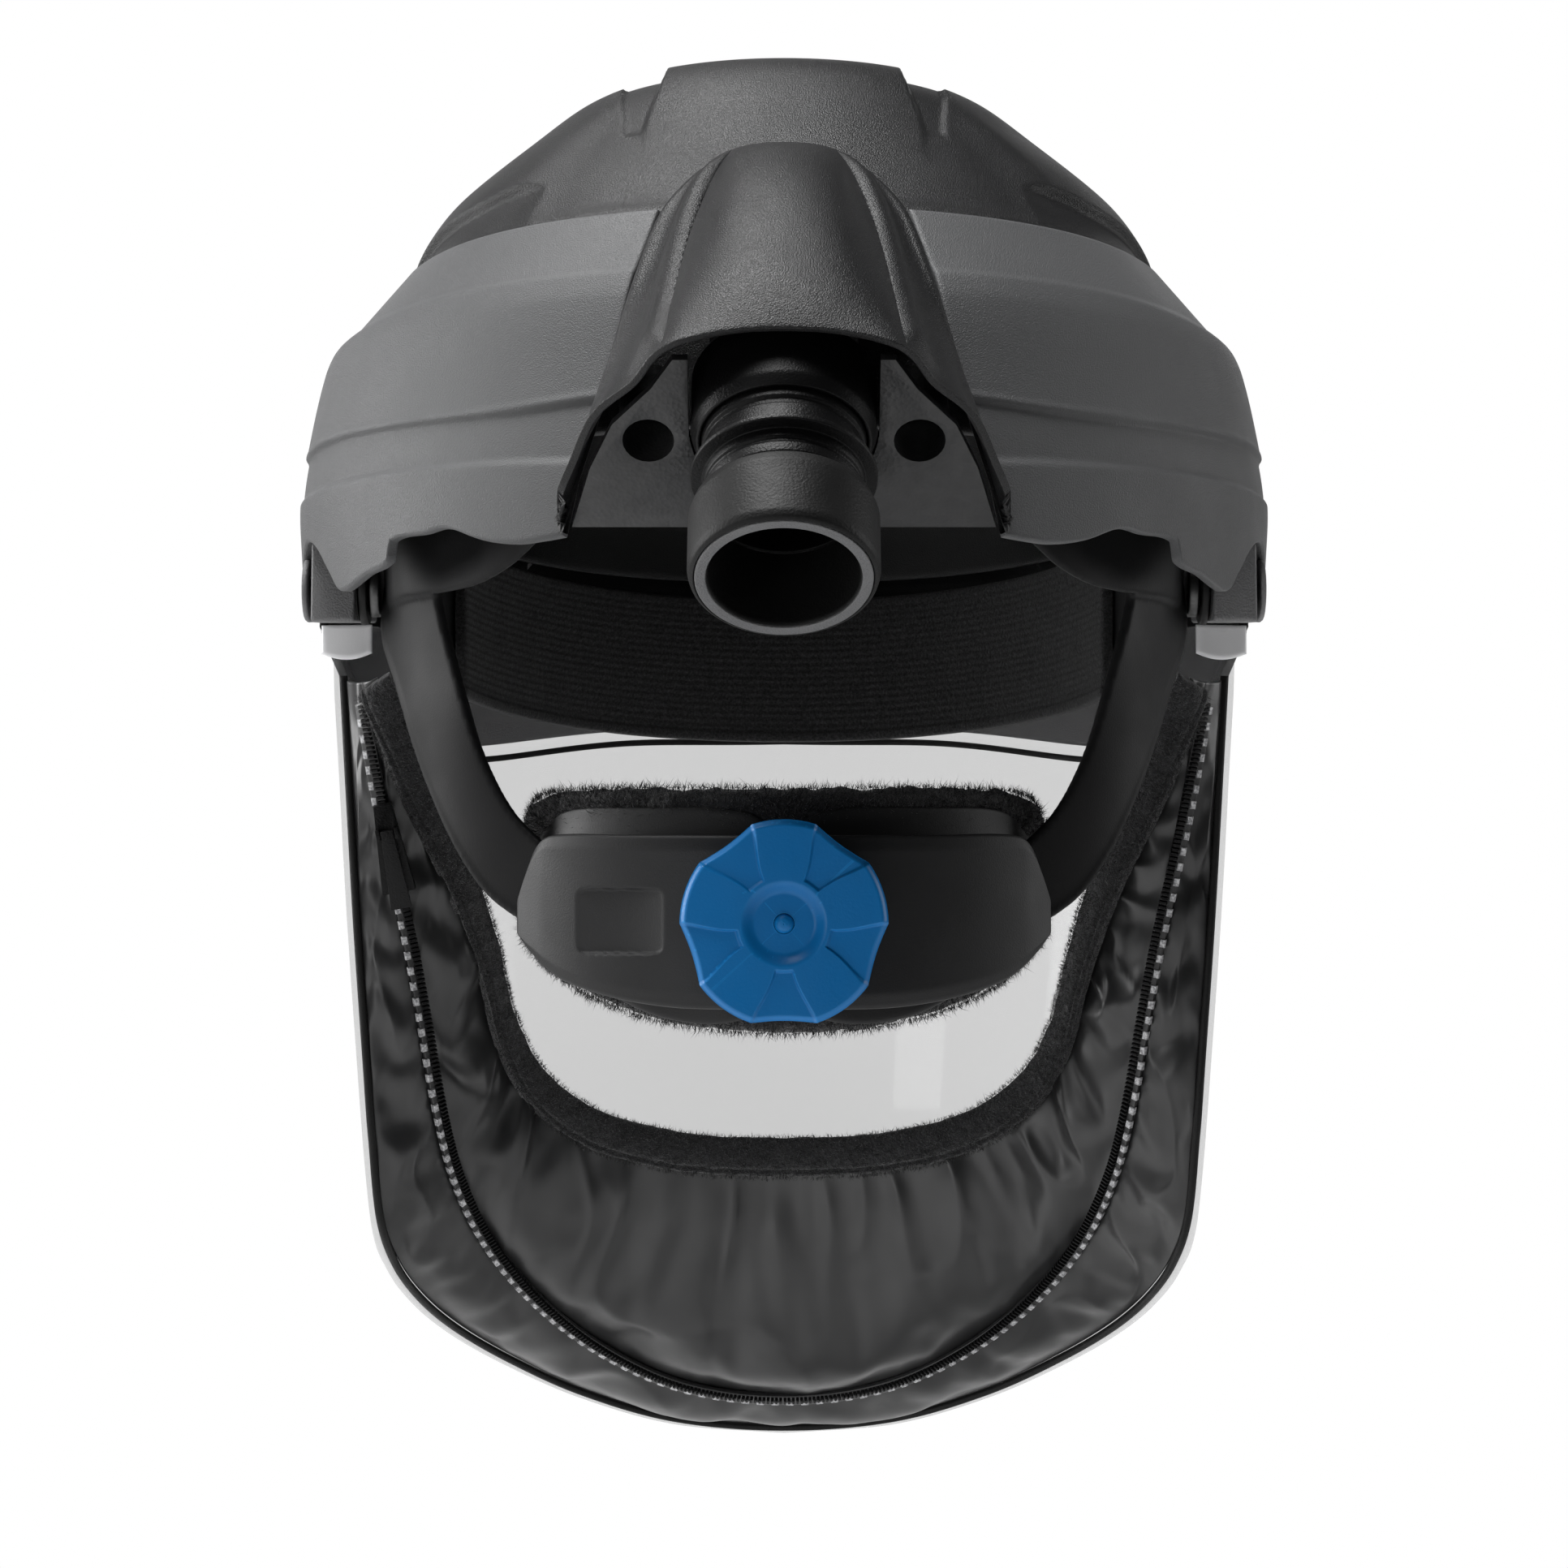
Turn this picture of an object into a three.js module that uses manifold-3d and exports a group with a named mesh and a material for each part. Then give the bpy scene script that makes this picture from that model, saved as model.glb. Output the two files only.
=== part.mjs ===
// Powered air respirator headtop: bump-cap shell with a rear air duct and hose connector,
// head harness with a ratchet knob, and a lift-up visor with a fabric face seal.
// Millimetres. +Z is up, the visor faces -Y, the hose leaves at +Y, the wearer's left is +X.
// The origin lies on the middle plane at temple height, a little ahead of the visor's pivots.

import * as THREE from 'three';
import { mergeVertices } from 'three/addons/utils/BufferGeometryUtils.js';
import Module from 'manifold-3d';

const wasm = await Module();
wasm.setup();

// ---------------------------------------------------------------- driving dimensions

const GAP = 0.35;                 // clearance between touching pieces

const CROWN_WALL = 3;
const CROWN_TOP = 136.8;
// height, half width, reach to the rear, reach to the front of the crown's outer face
const CROWN_LEVELS = [
  [CROWN_TOP, 0, 0, 0],
  [136.4, 22, 18, 22],
  [134.8, 42, 32, 42],
  [130, 55, 43, 61],
  [118.5, 69.5, 57, 84],
  [102, 88.5, 72, 105],
  [89, 97.5, 83, 115],
  [83, 100, 89.5, 119],
  [74, 100.5, 93, 123],
  [50, 103, 99.5, 133.5],
  [26, 105, 104.5, 140],
];
const CROWN_FRONT_POWER = 2.3;    // squareness of the crown's front half, seen from above
const CREST_HALF_WIDTH = 31;
const CREST_HEIGHT = 2.6;

const PANEL_WALL = 3;
// height, half width and rear reach of the side panels' outer face
const PANEL_LEVELS = [
  [81.5, 104, 97],
  [72, 112, 103.5],
  [64, 118.5, 109],
  [56, 122, 112.5],
  [37, 126, 117],
  [22, 128, 120.5],
  [8, 127.4, 123.5],
  [-12, 125.8, 126.5],
];
const PANEL_TOP = 81.5;
const PANEL_FOOT = -12;
// angle round the head from straight back, and height, of the panels' lower edge
const PANEL_LOWER_EDGE = [
  [24, -3], [27, -3.6], [30.5, -3.8], [35, -2], [40, 2], [43.5, 1.6], [49.7, 1], [50.1, -3.5],
  [55, -5.6], [60.5, -8], [62.5, -7], [65, -2], [69, 5], [73, 8.5], [90, 8.5],
];
const PANEL_FRONT_BOTTOM = 82.5;  // angle of the panels' front edge, at its foot and at its top
const PANEL_FRONT_TOP = 80;

const PLATE_FOOT = [113, -1];     // Y and Z of the duct plate's lower edge
const PLATE_TILT = THREE.MathUtils.degToRad(43);
const PLATE_WALL = 2.4;
const SCREW_HOLE = { x: 31.4, along: 25, radius: 6, depth: 19 };
const COVER_WALL = 1.8;

const TUBE_CENTRE = [132, 21];    // Y and Z where the hose tube leaves its socket
const TUBE_TILT = THREE.MathUtils.degToRad(60);
const SOCKET_RADIUS = 21.5;
const TUBE_RADIUS = 19;
const SLEEVE_RADIUS = 21.8;
const HOSE_BORE = 17.1;
const SLEEVE_END = 48;

const PIVOT = [24, -2];           // Y and Z of the visor's pivots
const PIVOT_RADIUS = 4;
const PIVOT_BORE = PIVOT_RADIUS + 0.4;
const BRACKET_FACE = 109.6;       // outer face of the bracket that holds the pivot pin
const CAP_RADIUS = 8;
const EAR_RADIUS = 9;
const EAR_INNER = 111;
const EAR_OUTER = 122.5;
const FRAME_SIDE = 125.8;         // half width of the visor frame ahead of its ears

const VISOR_CENTRE_Y = -10;
const VISOR_POWER = 2.4;          // exponent of the visor's rounded cross-section
const LENS_WALL = 1.5;
const LENS_SIDE = 87;             // angle of the lens's upright rear ends
const FRAME_WALL = 2.6;
const CLIP_SIZE = [11, 3, 5];
const CLIP_CENTRE = [118, -15.5, -14];
// height, half width and forward reach of the lens's outer face
const LENS_LEVELS = [
  [60, 122.6, 143],
  [-12, 122.6, 142],
  [-45, 121, 143.5],
  [-88, 119, 147],
  [-125, 116.8, 150],
  [-160, 115, 152.5],
  [-200, 113.4, 155.5],
  [-235, 112, 158],
];
// angle from straight ahead, and height, of the lens's lower and rear edge
const LENS_EDGE = [
  [0, -231], [14, -228], [29, -219.5], [43, -209], [56, -198.5], [66, -189],
  [74, -179], [79.5, -167], [82, -145], [83.4, -118], [84.6, -88], [86, -55], [LENS_SIDE, -20],
];
const BROW_TOP = 34;
const BROW_FLANGE = 10;           // reach of the brow's top lip towards the crown
const BROW_BOTTOM = -20.5;

// centreline of the face seal's fleece band, from the chin to the temple
const BAND_LINE = [
  [0, -85, -147], [30, -82, -145.5], [55, -75, -139], [70, -67, -128], [78.5, -58, -113],
  [83.5, -46, -92], [90.5, -33, -70], [101, -20, -46], [109, -7, -20],
];
const BAND_WIDTH = 12;
const BAND_WALL = 3;
const SEAL_INSET = 3.4;           // gap between the fabric's outer edge and the lens gasket
const SEAL_WALL = 1.2;
const ZIPPER_WALL = 1.4;
const ZIPPER_WIDTH = 6;

const NAPE_TILT = THREE.MathUtils.degToRad(5.5);
const NAPE_CENTRE = [108, -94];   // Y and Z of the middle of the nape cover's face
const NAPE_RADIUS = 82.5;         // plan radius of the nape cover's face
const NAPE_HALF_WIDTH = 66;
const KNOB_RADIUS = 24.2;
const KNOB_LOBES = 5;
const PINION_RADIUS = 5;

const ARM_WIDTH = 17;
const ARM_WALL = 3;
// centreline of a harness arm, from the temple down to the nape
const ARM_LINE = [
  [98, 20, 6], [96, 33, -8], [90, 47, -30], [82.5, 58, -52], [72.5, 65, -77], [64.5, 69, -89],
  [59, 73, -94],
];
// how far the arm's face is turned from the side towards the rear, along the arm
const ARM_TWIST = [[0, 14], [0.2, 28], [0.45, 48], [0.75, 50], [0.9, 42], [1, 39]];

const HEADBAND_HALF = 97;
const HEADBAND_FRONT = 107;

// ---------------------------------------------------------------- maths helpers

const { sin, cos, abs, sign, min, max, pow, PI } = Math;
const rad = THREE.MathUtils.degToRad;
const vec = (x, y, z) => new THREE.Vector3(x, y, z);
const mix = (a, b, t) => a + (b - a) * t;
const smooth = (a, b, x) => THREE.MathUtils.smoothstep(x, a, b);

// A smooth function through rows of [input, output, output, ...], in rising or falling order.
function through(rows) {
  const list = rows[0][0] < rows[rows.length - 1][0] ? rows : [...rows].reverse();
  const slope = (i, k) => {
    const a = list[max(i - 1, 0)];
    const b = list[min(i + 1, list.length - 1)];
    return (b[k] - a[k]) / (b[0] - a[0]);
  };
  return (x, k = 1) => {
    let i = 0;
    while (i < list.length - 2 && x > list[i + 1][0]) {
      i += 1;
    }
    const width = list[i + 1][0] - list[i][0];
    const t = min(max((x - list[i][0]) / width, 0), 1);
    const keepStart = (1 + 2 * t) * (1 - t) * (1 - t);
    const leave = t * (1 - t) * (1 - t) * width;
    const arrive = t * t * (t - 1) * width;
    return keepStart * list[i][k] + (1 - keepStart) * list[i + 1][k]
      + leave * slope(i, k) + arrive * slope(i + 1, k);
  };
}

const crownLevel = through(CROWN_LEVELS.map((level, i) => [i, ...level]));
const panelLevel = through(PANEL_LEVELS);
const panelLowerEdge = through(PANEL_LOWER_EDGE);
const lensLevel = through(LENS_LEVELS);
const lensEdge = through(LENS_EDGE);

function mirrored(line) {
  const left = [...line].reverse();
  const right = line.slice(1).map(([x, y, z]) => [-x, y, z]);
  return [...left, ...right].map((point) => vec(...point));
}

const curveThrough = (points) => new THREE.CatmullRomCurve3(points, false, 'centripetal');

// ---------------------------------------------------------------- solid helpers

function solidOf(geometry) {
  const bare = geometry.clone();
  bare.deleteAttribute('normal');
  bare.deleteAttribute('uv');
  const merged = mergeVertices(bare, 1e-4);
  return new wasm.Manifold(new wasm.Mesh({
    numProp: 3,
    vertProperties: new Float32Array(merged.attributes.position.array),
    triVerts: new Uint32Array(merged.index.array),
  }));
}

function geometryOf(solid) {
  const mesh = solid.getMesh();
  const geometry = new THREE.BufferGeometry();
  geometry.setAttribute('position', new THREE.BufferAttribute(mesh.vertProperties, 3));
  geometry.setIndex(new THREE.BufferAttribute(mesh.triVerts, 1));
  geometry.computeVertexNormals();
  return geometry;
}

const cut = (geometry, ...tools) =>
  geometryOf(tools.reduce((solid, tool) => solid.subtract(solidOf(tool)), solidOf(geometry)));
const join = (...pieces) =>
  geometryOf(pieces.slice(1).reduce((solid, piece) => solid.add(solidOf(piece)), solidOf(pieces[0])));

// A closed plate over surface(u, v), u and v from 0 to 1, with its thickness behind the surface.
function plateOver(surface, wall, across, along) {
  const geometry = new THREE.BoxGeometry(1, 1, 1, across, along, 1);
  const position = geometry.attributes.position;
  const step = 1e-3;
  for (let i = 0; i < position.count; i += 1) {
    const u = position.getX(i) + 0.5;
    const v = position.getY(i) + 0.5;
    const u0 = max(u - step, 0);
    const v0 = max(v - step, 0);
    const alongU = surface(min(u + step, 1), v).sub(surface(u0, v));
    const alongV = surface(u, min(v + step, 1)).sub(surface(u, v0));
    const normal = alongU.cross(alongV).normalize();
    const depth = position.getZ(i) > 0 ? 0 : -wall;
    const point = surface(u, v).addScaledVector(normal, depth);
    position.setXYZ(i, point.x, point.y, point.z);
  }
  geometry.computeVertexNormals();
  return geometry;
}

// A flat-sectioned strip along a curve; its width runs along widthAt(t), a unit vector.
function stripAlong(curve, widthAt, width, wall, steps, lift = 0) {
  const sizeAt = typeof width === 'function' ? width : () => width;
  return plateOver((u, v) => {
    const side = widthAt(u);
    const face = curve.getTangentAt(u).cross(side).normalize();
    return curve.getPointAt(u).addScaledVector(side, (v - 0.5) * sizeAt(u)).addScaledVector(face, lift);
  }, wall, steps, 2);
}

function polygonShape(points) {
  return new THREE.Shape(points.map(([x, y]) => new THREE.Vector2(x, y)));
}

function extruded(points, depth, holes = []) {
  const shape = polygonShape(points);
  shape.holes = holes.map((hole) => new THREE.Path(hole.map(([x, y]) => new THREE.Vector2(x, y))));
  return new THREE.ExtrudeGeometry(shape, { depth, bevelEnabled: false });
}

function circlePoints(radius, count, x = 0, y = 0) {
  return Array.from({ length: count }, (_, i) => {
    const angle = (i / count) * 2 * PI;
    return [x + radius * cos(angle), y + radius * sin(angle)];
  });
}

// A body turned about +Z from [radius, height] points: a ring, unless it starts on the axis.
function turned(points, segments = 24) {
  const closed = points[0][0] > 0 ? [...points, points[0]] : points;
  const outline = closed.map(([r, z]) => new THREE.Vector2(r, z));
  return new THREE.LatheGeometry(outline, segments).rotateX(PI / 2);
}

function rod(radius, length, segments = 24) {
  return new THREE.CylinderGeometry(radius, radius, length, segments).rotateX(PI / 2)
    .translate(0, 0, length / 2);
}

// An outline of [Y, Z] points pushed out along +X from x = start.
function sideways(points, depth, start, holes = []) {
  return extruded(points, depth, holes).rotateX(PI / 2).rotateZ(PI / 2).translate(start, 0, 0);
}

const assembly = new THREE.Group();

function add(name, geometry, look, parent = assembly) {
  const mesh = new THREE.Mesh(geometry, new THREE.MeshStandardMaterial(look));
  mesh.name = name;
  parent.add(mesh);
  return mesh;
}

const LOOKS = {
  shell: { color: 0x242526, roughness: 0.55, metalness: 0 },
  panel: { color: 0x55585b, roughness: 0.5, metalness: 0 },
  black: { color: 0x121213, roughness: 0.45, metalness: 0 },
  inner: { color: 0x1a1b1c, roughness: 0.6, metalness: 0 },
  steel: { color: 0x8d9094, roughness: 0.3, metalness: 1 },
  rubber: { color: 0x0e0e0f, roughness: 0.7, metalness: 0 },
  harness: { color: 0x1c1d1e, roughness: 0.4, metalness: 0 },
  knit: { color: 0x151515, roughness: 0.95, metalness: 0 },
  fleece: { color: 0x101010, roughness: 1, metalness: 0 },
  nylon: { color: 0x1b1b1d, roughness: 0.35, metalness: 0 },
  lens: { color: 0xe8ecee, roughness: 0.05, metalness: 0, transparent: true, opacity: 0.25 },
  blue: { color: 0x1569a5, roughness: 0.45, metalness: 0 },
};

const SIDES = [['left', 1], ['right', -1]];
const mirroredX = (geometry, side) => (side > 0 ? geometry : flipX(geometry));

function flipX(geometry) {
  const flipped = geometry.index ? geometry.toNonIndexed() : geometry.clone();
  const position = flipped.attributes.position;
  for (let i = 0; i < position.count; i += 3) {
    const [a, b, c] = [0, 1, 2].map((k) => new THREE.Vector3().fromBufferAttribute(position, i + k));
    position.setXYZ(i, -a.x, a.y, a.z);
    position.setXYZ(i + 1, -c.x, c.y, c.z);
    position.setXYZ(i + 2, -b.x, b.y, b.z);
  }
  flipped.computeVertexNormals();
  return flipped;
}

// ---------------------------------------------------------------- crown shell

// A point of the crown's outer face; turn is 0 straight back and level counts CROWN_LEVELS.
function crownPoint(turn, level, offset = 0) {
  const ahead = cos(turn) < 0;
  const reach = crownLevel(level, ahead ? 4 : 3);
  const power = ahead ? 2 / CROWN_FRONT_POWER : 1;
  const x = (crownLevel(level, 2) + offset) * sign(sin(turn)) * pow(abs(sin(turn)), power);
  const y = (reach + offset) * sign(cos(turn)) * pow(abs(cos(turn)), power);
  const crest = 1 - smooth(CREST_HALF_WIDTH - 1, CREST_HALF_WIDTH + 3, abs(x));
  const fade = 1 - smooth(3.2, 5.2, level);
  return vec(x, y, crownLevel(level, 1) + crest * fade * CREST_HEIGHT);
}

// Square (u, v) to a disc of turn and level, so the plate has no pole.
function discCoordinates(u, v) {
  const a = 2 * u - 1;
  const b = 2 * v - 1;
  const radius = max(abs(a), abs(b));
  if (radius < 1e-9) {
    return [0, 0];
  }
  const eighth = abs(a) > abs(b)
    ? (sign(a) > 0 ? 0 : PI) + (PI / 4) * (b / a)
    : (sign(b) > 0 ? PI / 2 : -PI / 2) - (PI / 4) * (a / b);
  return [eighth, radius];
}

function crownShell() {
  const lastLevel = CROWN_LEVELS.length - 1;
  const skin = plateOver((u, v) => {
    const [angle, radius] = discCoordinates(u, v);
    return crownPoint(PI / 2 - angle, radius * lastLevel);
  }, CROWN_WALL, 18, 18);
  const inlet = new THREE.BoxGeometry(36, 60, 34).translate(0, 100, 64);
  const outlet = new THREE.BoxGeometry(52, 40, 12).translate(0, -130, 44);
  return cut(skin, inlet, outlet);
}

add('crown_shell', crownShell(), LOOKS.shell);

// ---------------------------------------------------------------- grey side panels

function panelPoint(turn, z, offset = 0) {
  const half = panelLevel(z, 1) + offset;
  const rear = panelLevel(z, 2) + offset;
  return vec(half * sin(turn), rear * cos(turn), z);
}

// Angle where the panel meets the duct cover at height z.
const panelRearEdge = through([
  [-12, 25.4], [-3, 24.8], [22, 20.8], [43, 18.6], [62, 17.6], [81.5, 17.2],
]);

function panelFrontEdge(z) {
  return mix(PANEL_FRONT_BOTTOM, PANEL_FRONT_TOP, smooth(20, PANEL_TOP, z));
}

function sidePanel() {
  const skin = plateOver((u, v) => {
    const z = mix(PANEL_TOP, PANEL_FOOT, v);
    return panelPoint(rad(mix(panelRearEdge(z), panelFrontEdge(z), u)), z);
  }, PANEL_WALL, 16, 7);
  const belowEdge = plateOver((u, v) => {
    const turn = mix(16, 88, u);
    const point = panelPoint(rad(turn), 0, mix(-24, 12, v));
    point.z = panelLowerEdge(max(turn, 24));
    return point;
  }, 60, 40, 1);
  const returnWall = plateOver((u, v) => {
    const z = mix(30, PANEL_TOP - 8, v);
    const turn = rad(panelFrontEdge(z));
    const outer = panelPoint(turn, z, -1.5);
    const inner = crownPoint(turn, crownLevelAt(z), 0.8);
    return vec(mix(inner.x, outer.x, u), outer.y + 2.2, z);
  }, 2, 1, 6);
  return join(cut(skin, belowEdge), returnWall);
}

function crownLevelAt(z) {
  let low = 0;
  let high = CROWN_LEVELS.length - 1;
  for (let i = 0; i < 30; i += 1) {
    const middle = (low + high) / 2;
    if (crownLevel(middle, 1) > z) {
      low = middle;
    } else {
      high = middle;
    }
  }
  return low;
}

for (const [name, side] of SIDES) {
  add(`side_panel_${name}`, mirroredX(sidePanel(), side), LOOKS.panel);
}

// ---------------------------------------------------------------- rear duct

// Rows across half the duct cover, from its ridge to its foot: the rim on the shell, two points
// that shape the hood between, and the free edge round the plate.
const COVER_ROWS = [
  [[0, 80, 98], [0, 99, 96.5], [0, 138, 73], [0, 151.5, 36.5]],
  [[11, 80, 97], [9, 98, 95], [12, 136, 70], [12, 151.3, 35.8]],
  [[19, 85, 92], [16, 97, 87], [18.5, 128, 63], [24, 150.5, 33]],
  [[28.5, 96, 80.5], [25.5, 99, 73], [22.5, 122, 53], [28, 148.5, 31]],
  [[34.6, 105.5, 62], [32.2, 109, 52], [32, 121, 41], [33, 143, 26]],
  [[38.8, 111, 43], [38, 114, 36], [38, 124, 28], [42.4, 135.5, 20]],
  [[44.3, 114.5, 22], [46, 118, 18], [47, 122, 14], [48, 125.5, 10.5]],
  [[52, 116, -3], [52.4, 116.4, -1.5], [52.6, 116.8, 0], [52.8, 117.2, 2]],
];

const coverCurves = [0, 1, 2, 3].map((k) =>
  curveThrough(mirrored(COVER_ROWS.map((row) => row[k])).reverse()));

function coverPoint(u, v) {
  const [a, b, c, d] = coverCurves.map((curve) => curve.getPoint(1 - u));
  const w = 1 - v;
  return a.multiplyScalar(w * w * w).addScaledVector(b, 3 * w * w * v)
    .addScaledVector(c, 3 * w * v * v).addScaledVector(d, v * v * v);
}

add('duct_cover', plateOver(coverPoint, COVER_WALL, 24, 5), LOOKS.shell);

// Plate coordinates: X across, Y up the slanted plate, Z into the duct.
const onPlate = (geometry) => geometry.rotateX(PLATE_TILT).translate(0, ...PLATE_FOOT);

// Tube coordinates: Z along the hose tube, outwards.
const onTube = (geometry) => geometry.rotateX(1.5 * PI - TUBE_TILT).translate(0, ...TUBE_CENTRE);

function ductPlate() {
  const half = [[25.4, 47.5], [30.5, 39.5], [39.7, 29.5], [45.2, 17], [50, 0]];
  const outline = [...half, ...half.map(([x, y]) => [-x, y]).reverse()];
  const { x, along, radius, depth } = SCREW_HOLE;
  const sleeves = [1, -1].map((side) => rod(radius + 1.1, depth + 1.6, 20).translate(side * x, along, 0));
  const wells = [1, -1].map((side) => rod(radius, depth + 1).translate(side * x, along, -1));
  const shankHoles = [1, -1].map((side) => rod(2.4, depth + 4, 12).translate(side * x, along, 0));
  const plate = join(extruded(outline, PLATE_WALL), ...sleeves);
  const body = onPlate(cut(plate, ...wells, ...shankHoles));
  const tubeHole = onTube(rod(SOCKET_RADIUS + 0.5, 120, 40).translate(0, 0, -60));
  const mouth = onPlate(new THREE.BoxGeometry(2 * SOCKET_RADIUS + 1, 40, 40).translate(0, 46, 0));
  return cut(body, tubeHole, mouth);
}

add('duct_plate', ductPlate(), LOOKS.black);

function ductScrew() {
  const head = rod(4.6, 3);
  const shank = rod(2, 9, 12).translate(0, 0, 2.9);
  const slotAcross = new THREE.BoxGeometry(5.6, 1.1, 3);
  const slotUp = new THREE.BoxGeometry(1.1, 5.6, 3);
  const screw = cut(join(head, shank), slotAcross, slotUp);
  return screw.translate(0, 0, SCREW_HOLE.depth - 3 - GAP);
}

for (const [name, side] of SIDES) {
  const screw = onPlate(ductScrew().translate(side * SCREW_HOLE.x, SCREW_HOLE.along, 0));
  add(`duct_screw_${name}`, screw, LOOKS.steel);
}

function hoseSocket() {
  return onTube(turned([
    [17.6, -12], [SOCKET_RADIUS, -12], [SOCKET_RADIUS, 5], [TUBE_RADIUS + 1, 7.5],
    [TUBE_RADIUS + GAP, 7.5], [TUBE_RADIUS + GAP, -9], [17.6, -9],
  ]));
}

add('hose_socket', hoseSocket(), LOOKS.black);
add('socket_seal', onTube(turned([
  [HOSE_BORE + 0.3, -8.6], [TUBE_RADIUS, -8.6], [TUBE_RADIUS, -6.8], [HOSE_BORE + 0.3, -6.8],
])), LOOKS.rubber);
add('swivel_tube', onTube(turned([
  [HOSE_BORE, -6.4], [TUBE_RADIUS, -6.4], [TUBE_RADIUS, 17], [SOCKET_RADIUS, 17], [SOCKET_RADIUS, 18.5],
  [18.4, 18.5], [18.4, 25.7], [HOSE_BORE, 25.7],
])), LOOKS.black);
add('connector_sleeve', onTube(turned([
  [HOSE_BORE, 26], [18.6, 26], [20.8, 28], [SLEEVE_RADIUS, 31], [SLEEVE_RADIUS, 45.5], [21.2, 47.2],
  [20, SLEEVE_END], [HOSE_BORE, SLEEVE_END],
])), LOOKS.rubber);

// ---------------------------------------------------------------- air path inside the crown

const CHANNEL_LINE = [
  [82, 52], [74, 76], [54, 95], [28, 112], [0, 118], [-40, 112], [-72, 94], [-100, 70], [-116, 46],
];
const CHANNEL_HALF_WIDTH = 22;

function airChannel() {
  const line = curveThrough(CHANNEL_LINE.map(([y, z]) => vec(0, y, z)));
  return plateOver((u, v) => {
    const across = 2 * v - 1;
    const tangent = line.getTangentAt(u);
    const towardsCrown = vec(0, tangent.z, -tangent.y);
    const rise = 7 * smooth(0.7, 1, abs(across));
    return line.getPointAt(u).addScaledVector(towardsCrown, rise)
      .add(vec(across * CHANNEL_HALF_WIDTH, 0, 0));
  }, 1.8, 16, 4);
}

add('air_channel', airChannel(), LOOKS.inner);

function airOutlet() {
  const slots = [-18, -6, 6, 18].map((x) => new THREE.BoxGeometry(9, 10, 6).translate(x, 0, 0));
  return cut(new THREE.BoxGeometry(50, 3, 10.6), ...slots).translate(0, -134.5, 44);
}

add('air_outlet', airOutlet(), LOOKS.inner);

// ---------------------------------------------------------------- visor pivots

function pivotBracket() {
  const [y, z] = PIVOT;
  const round = circlePoints(9, 20, y, z);
  const stem = [[y - 2, z], [y + 8, z], [y + 8, 46], [y - 2, 46]];
  const wall = 2;
  const plate = join(sideways(round, wall, BRACKET_FACE - wall), sideways(stem, wall, BRACKET_FACE - wall));
  return cut(plate, sideways(circlePoints(PIVOT_BORE, 20, y, z), 20, 100));
}

function pivotPin() {
  const [y, z] = PIVOT;
  const head = sideways(circlePoints(7, 20, y, z), 2.8, 104.4);
  const shaft = sideways(circlePoints(PIVOT_RADIUS, 20, y, z), EAR_OUTER - 107.2, 107);
  return join(head, shaft);
}

function pivotWasher() {
  const bore = circlePoints(PIVOT_BORE, 20, ...PIVOT);
  return sideways(circlePoints(CAP_RADIUS, 20, ...PIVOT), 0.8, BRACKET_FACE + 0.3, [bore]);
}

function pivotCap() {
  return sideways(circlePoints(CAP_RADIUS, 20, ...PIVOT), 1.4, EAR_OUTER + 0.4);
}

for (const [name, side] of SIDES) {
  add(`pivot_bracket_${name}`, mirroredX(pivotBracket(), side), LOOKS.inner);
  add(`pivot_pin_${name}`, mirroredX(pivotPin(), side), LOOKS.steel);
  add(`pivot_washer_${name}`, mirroredX(pivotWasher(), side), LOOKS.rubber);
  add(`pivot_cap_${name}`, mirroredX(pivotCap(), side), LOOKS.black);
}

// ---------------------------------------------------------------- visor

// A point of the visor's outer face; turn is 0 straight ahead and runs to the left ear.
function visorPoint(turn, z, offset = 0) {
  const half = lensLevel(z, 1) + offset;
  const reach = lensLevel(z, 2) + offset;
  const power = 2 / VISOR_POWER;
  const x = half * sign(turn) * pow(abs(sin(turn)), power);
  return vec(x, VISOR_CENTRE_Y - reach * pow(max(cos(turn), 0), power), z);
}

// angle from straight ahead, and height, of the brow's two edges
const browTop = through([
  [0, BROW_TOP], [40, 33], [60, 27], [72, 19], [80, 13], [84, 9], [88, 4.5],
]);
const browBottom = through([
  [0, BROW_BOTTOM], [20, -22], [45, -30], [60, -33], [72, -29], [80, -18], [88, -10],
]);

function visorFrame() {
  const brow = plateOver((u, v) => {
    const turn = mix(-88, 88, u);
    return visorPoint(rad(turn), mix(browBottom(abs(turn)), browTop(abs(turn)), v), FRAME_WALL + 0.8);
  }, FRAME_WALL, 28, 1);
  const [y, z] = PIVOT;
  const earEnd = Array.from({ length: 9 }, (_, i) => {
    const angle = mix(-PI / 2, PI / 2 + 0.9, i / 8);
    return [y + EAR_RADIUS * cos(angle), z + EAR_RADIUS * sin(angle)];
  });
  const neck = [[4, -5], [-6, -1], [-20, 3], [-20, -11], [4, -11]];
  const thinning = new THREE.BoxGeometry(20, 60, 60).translate(EAR_OUTER + 10, y + 12, 0);
  const block = cut(sideways([...earEnd, ...neck], FRAME_SIDE - EAR_INNER, EAR_INNER), thinning);
  const ears = SIDES.map(([, side]) => mirroredX(block, side));
  const holes = SIDES.map(([, side]) =>
    mirroredX(sideways(circlePoints(PIVOT_BORE, 20, y, z), 40, 100), side));
  const flange = plateOver((u, v) => {
    const turn = mix(-58, 58, u);
    const outer = visorPoint(rad(turn), browTop(abs(turn)), 1);
    const inward = mix(BROW_FLANGE, 0, v);
    const length = Math.hypot(outer.x, outer.y);
    return vec(outer.x * (1 - inward / length), outer.y * (1 - inward / length), outer.z);
  }, 2.4, 18, 1);
  return cut(join(brow, flange, ...ears), ...holes);
}

add('visor_frame', visorFrame(), LOOKS.black);

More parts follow.
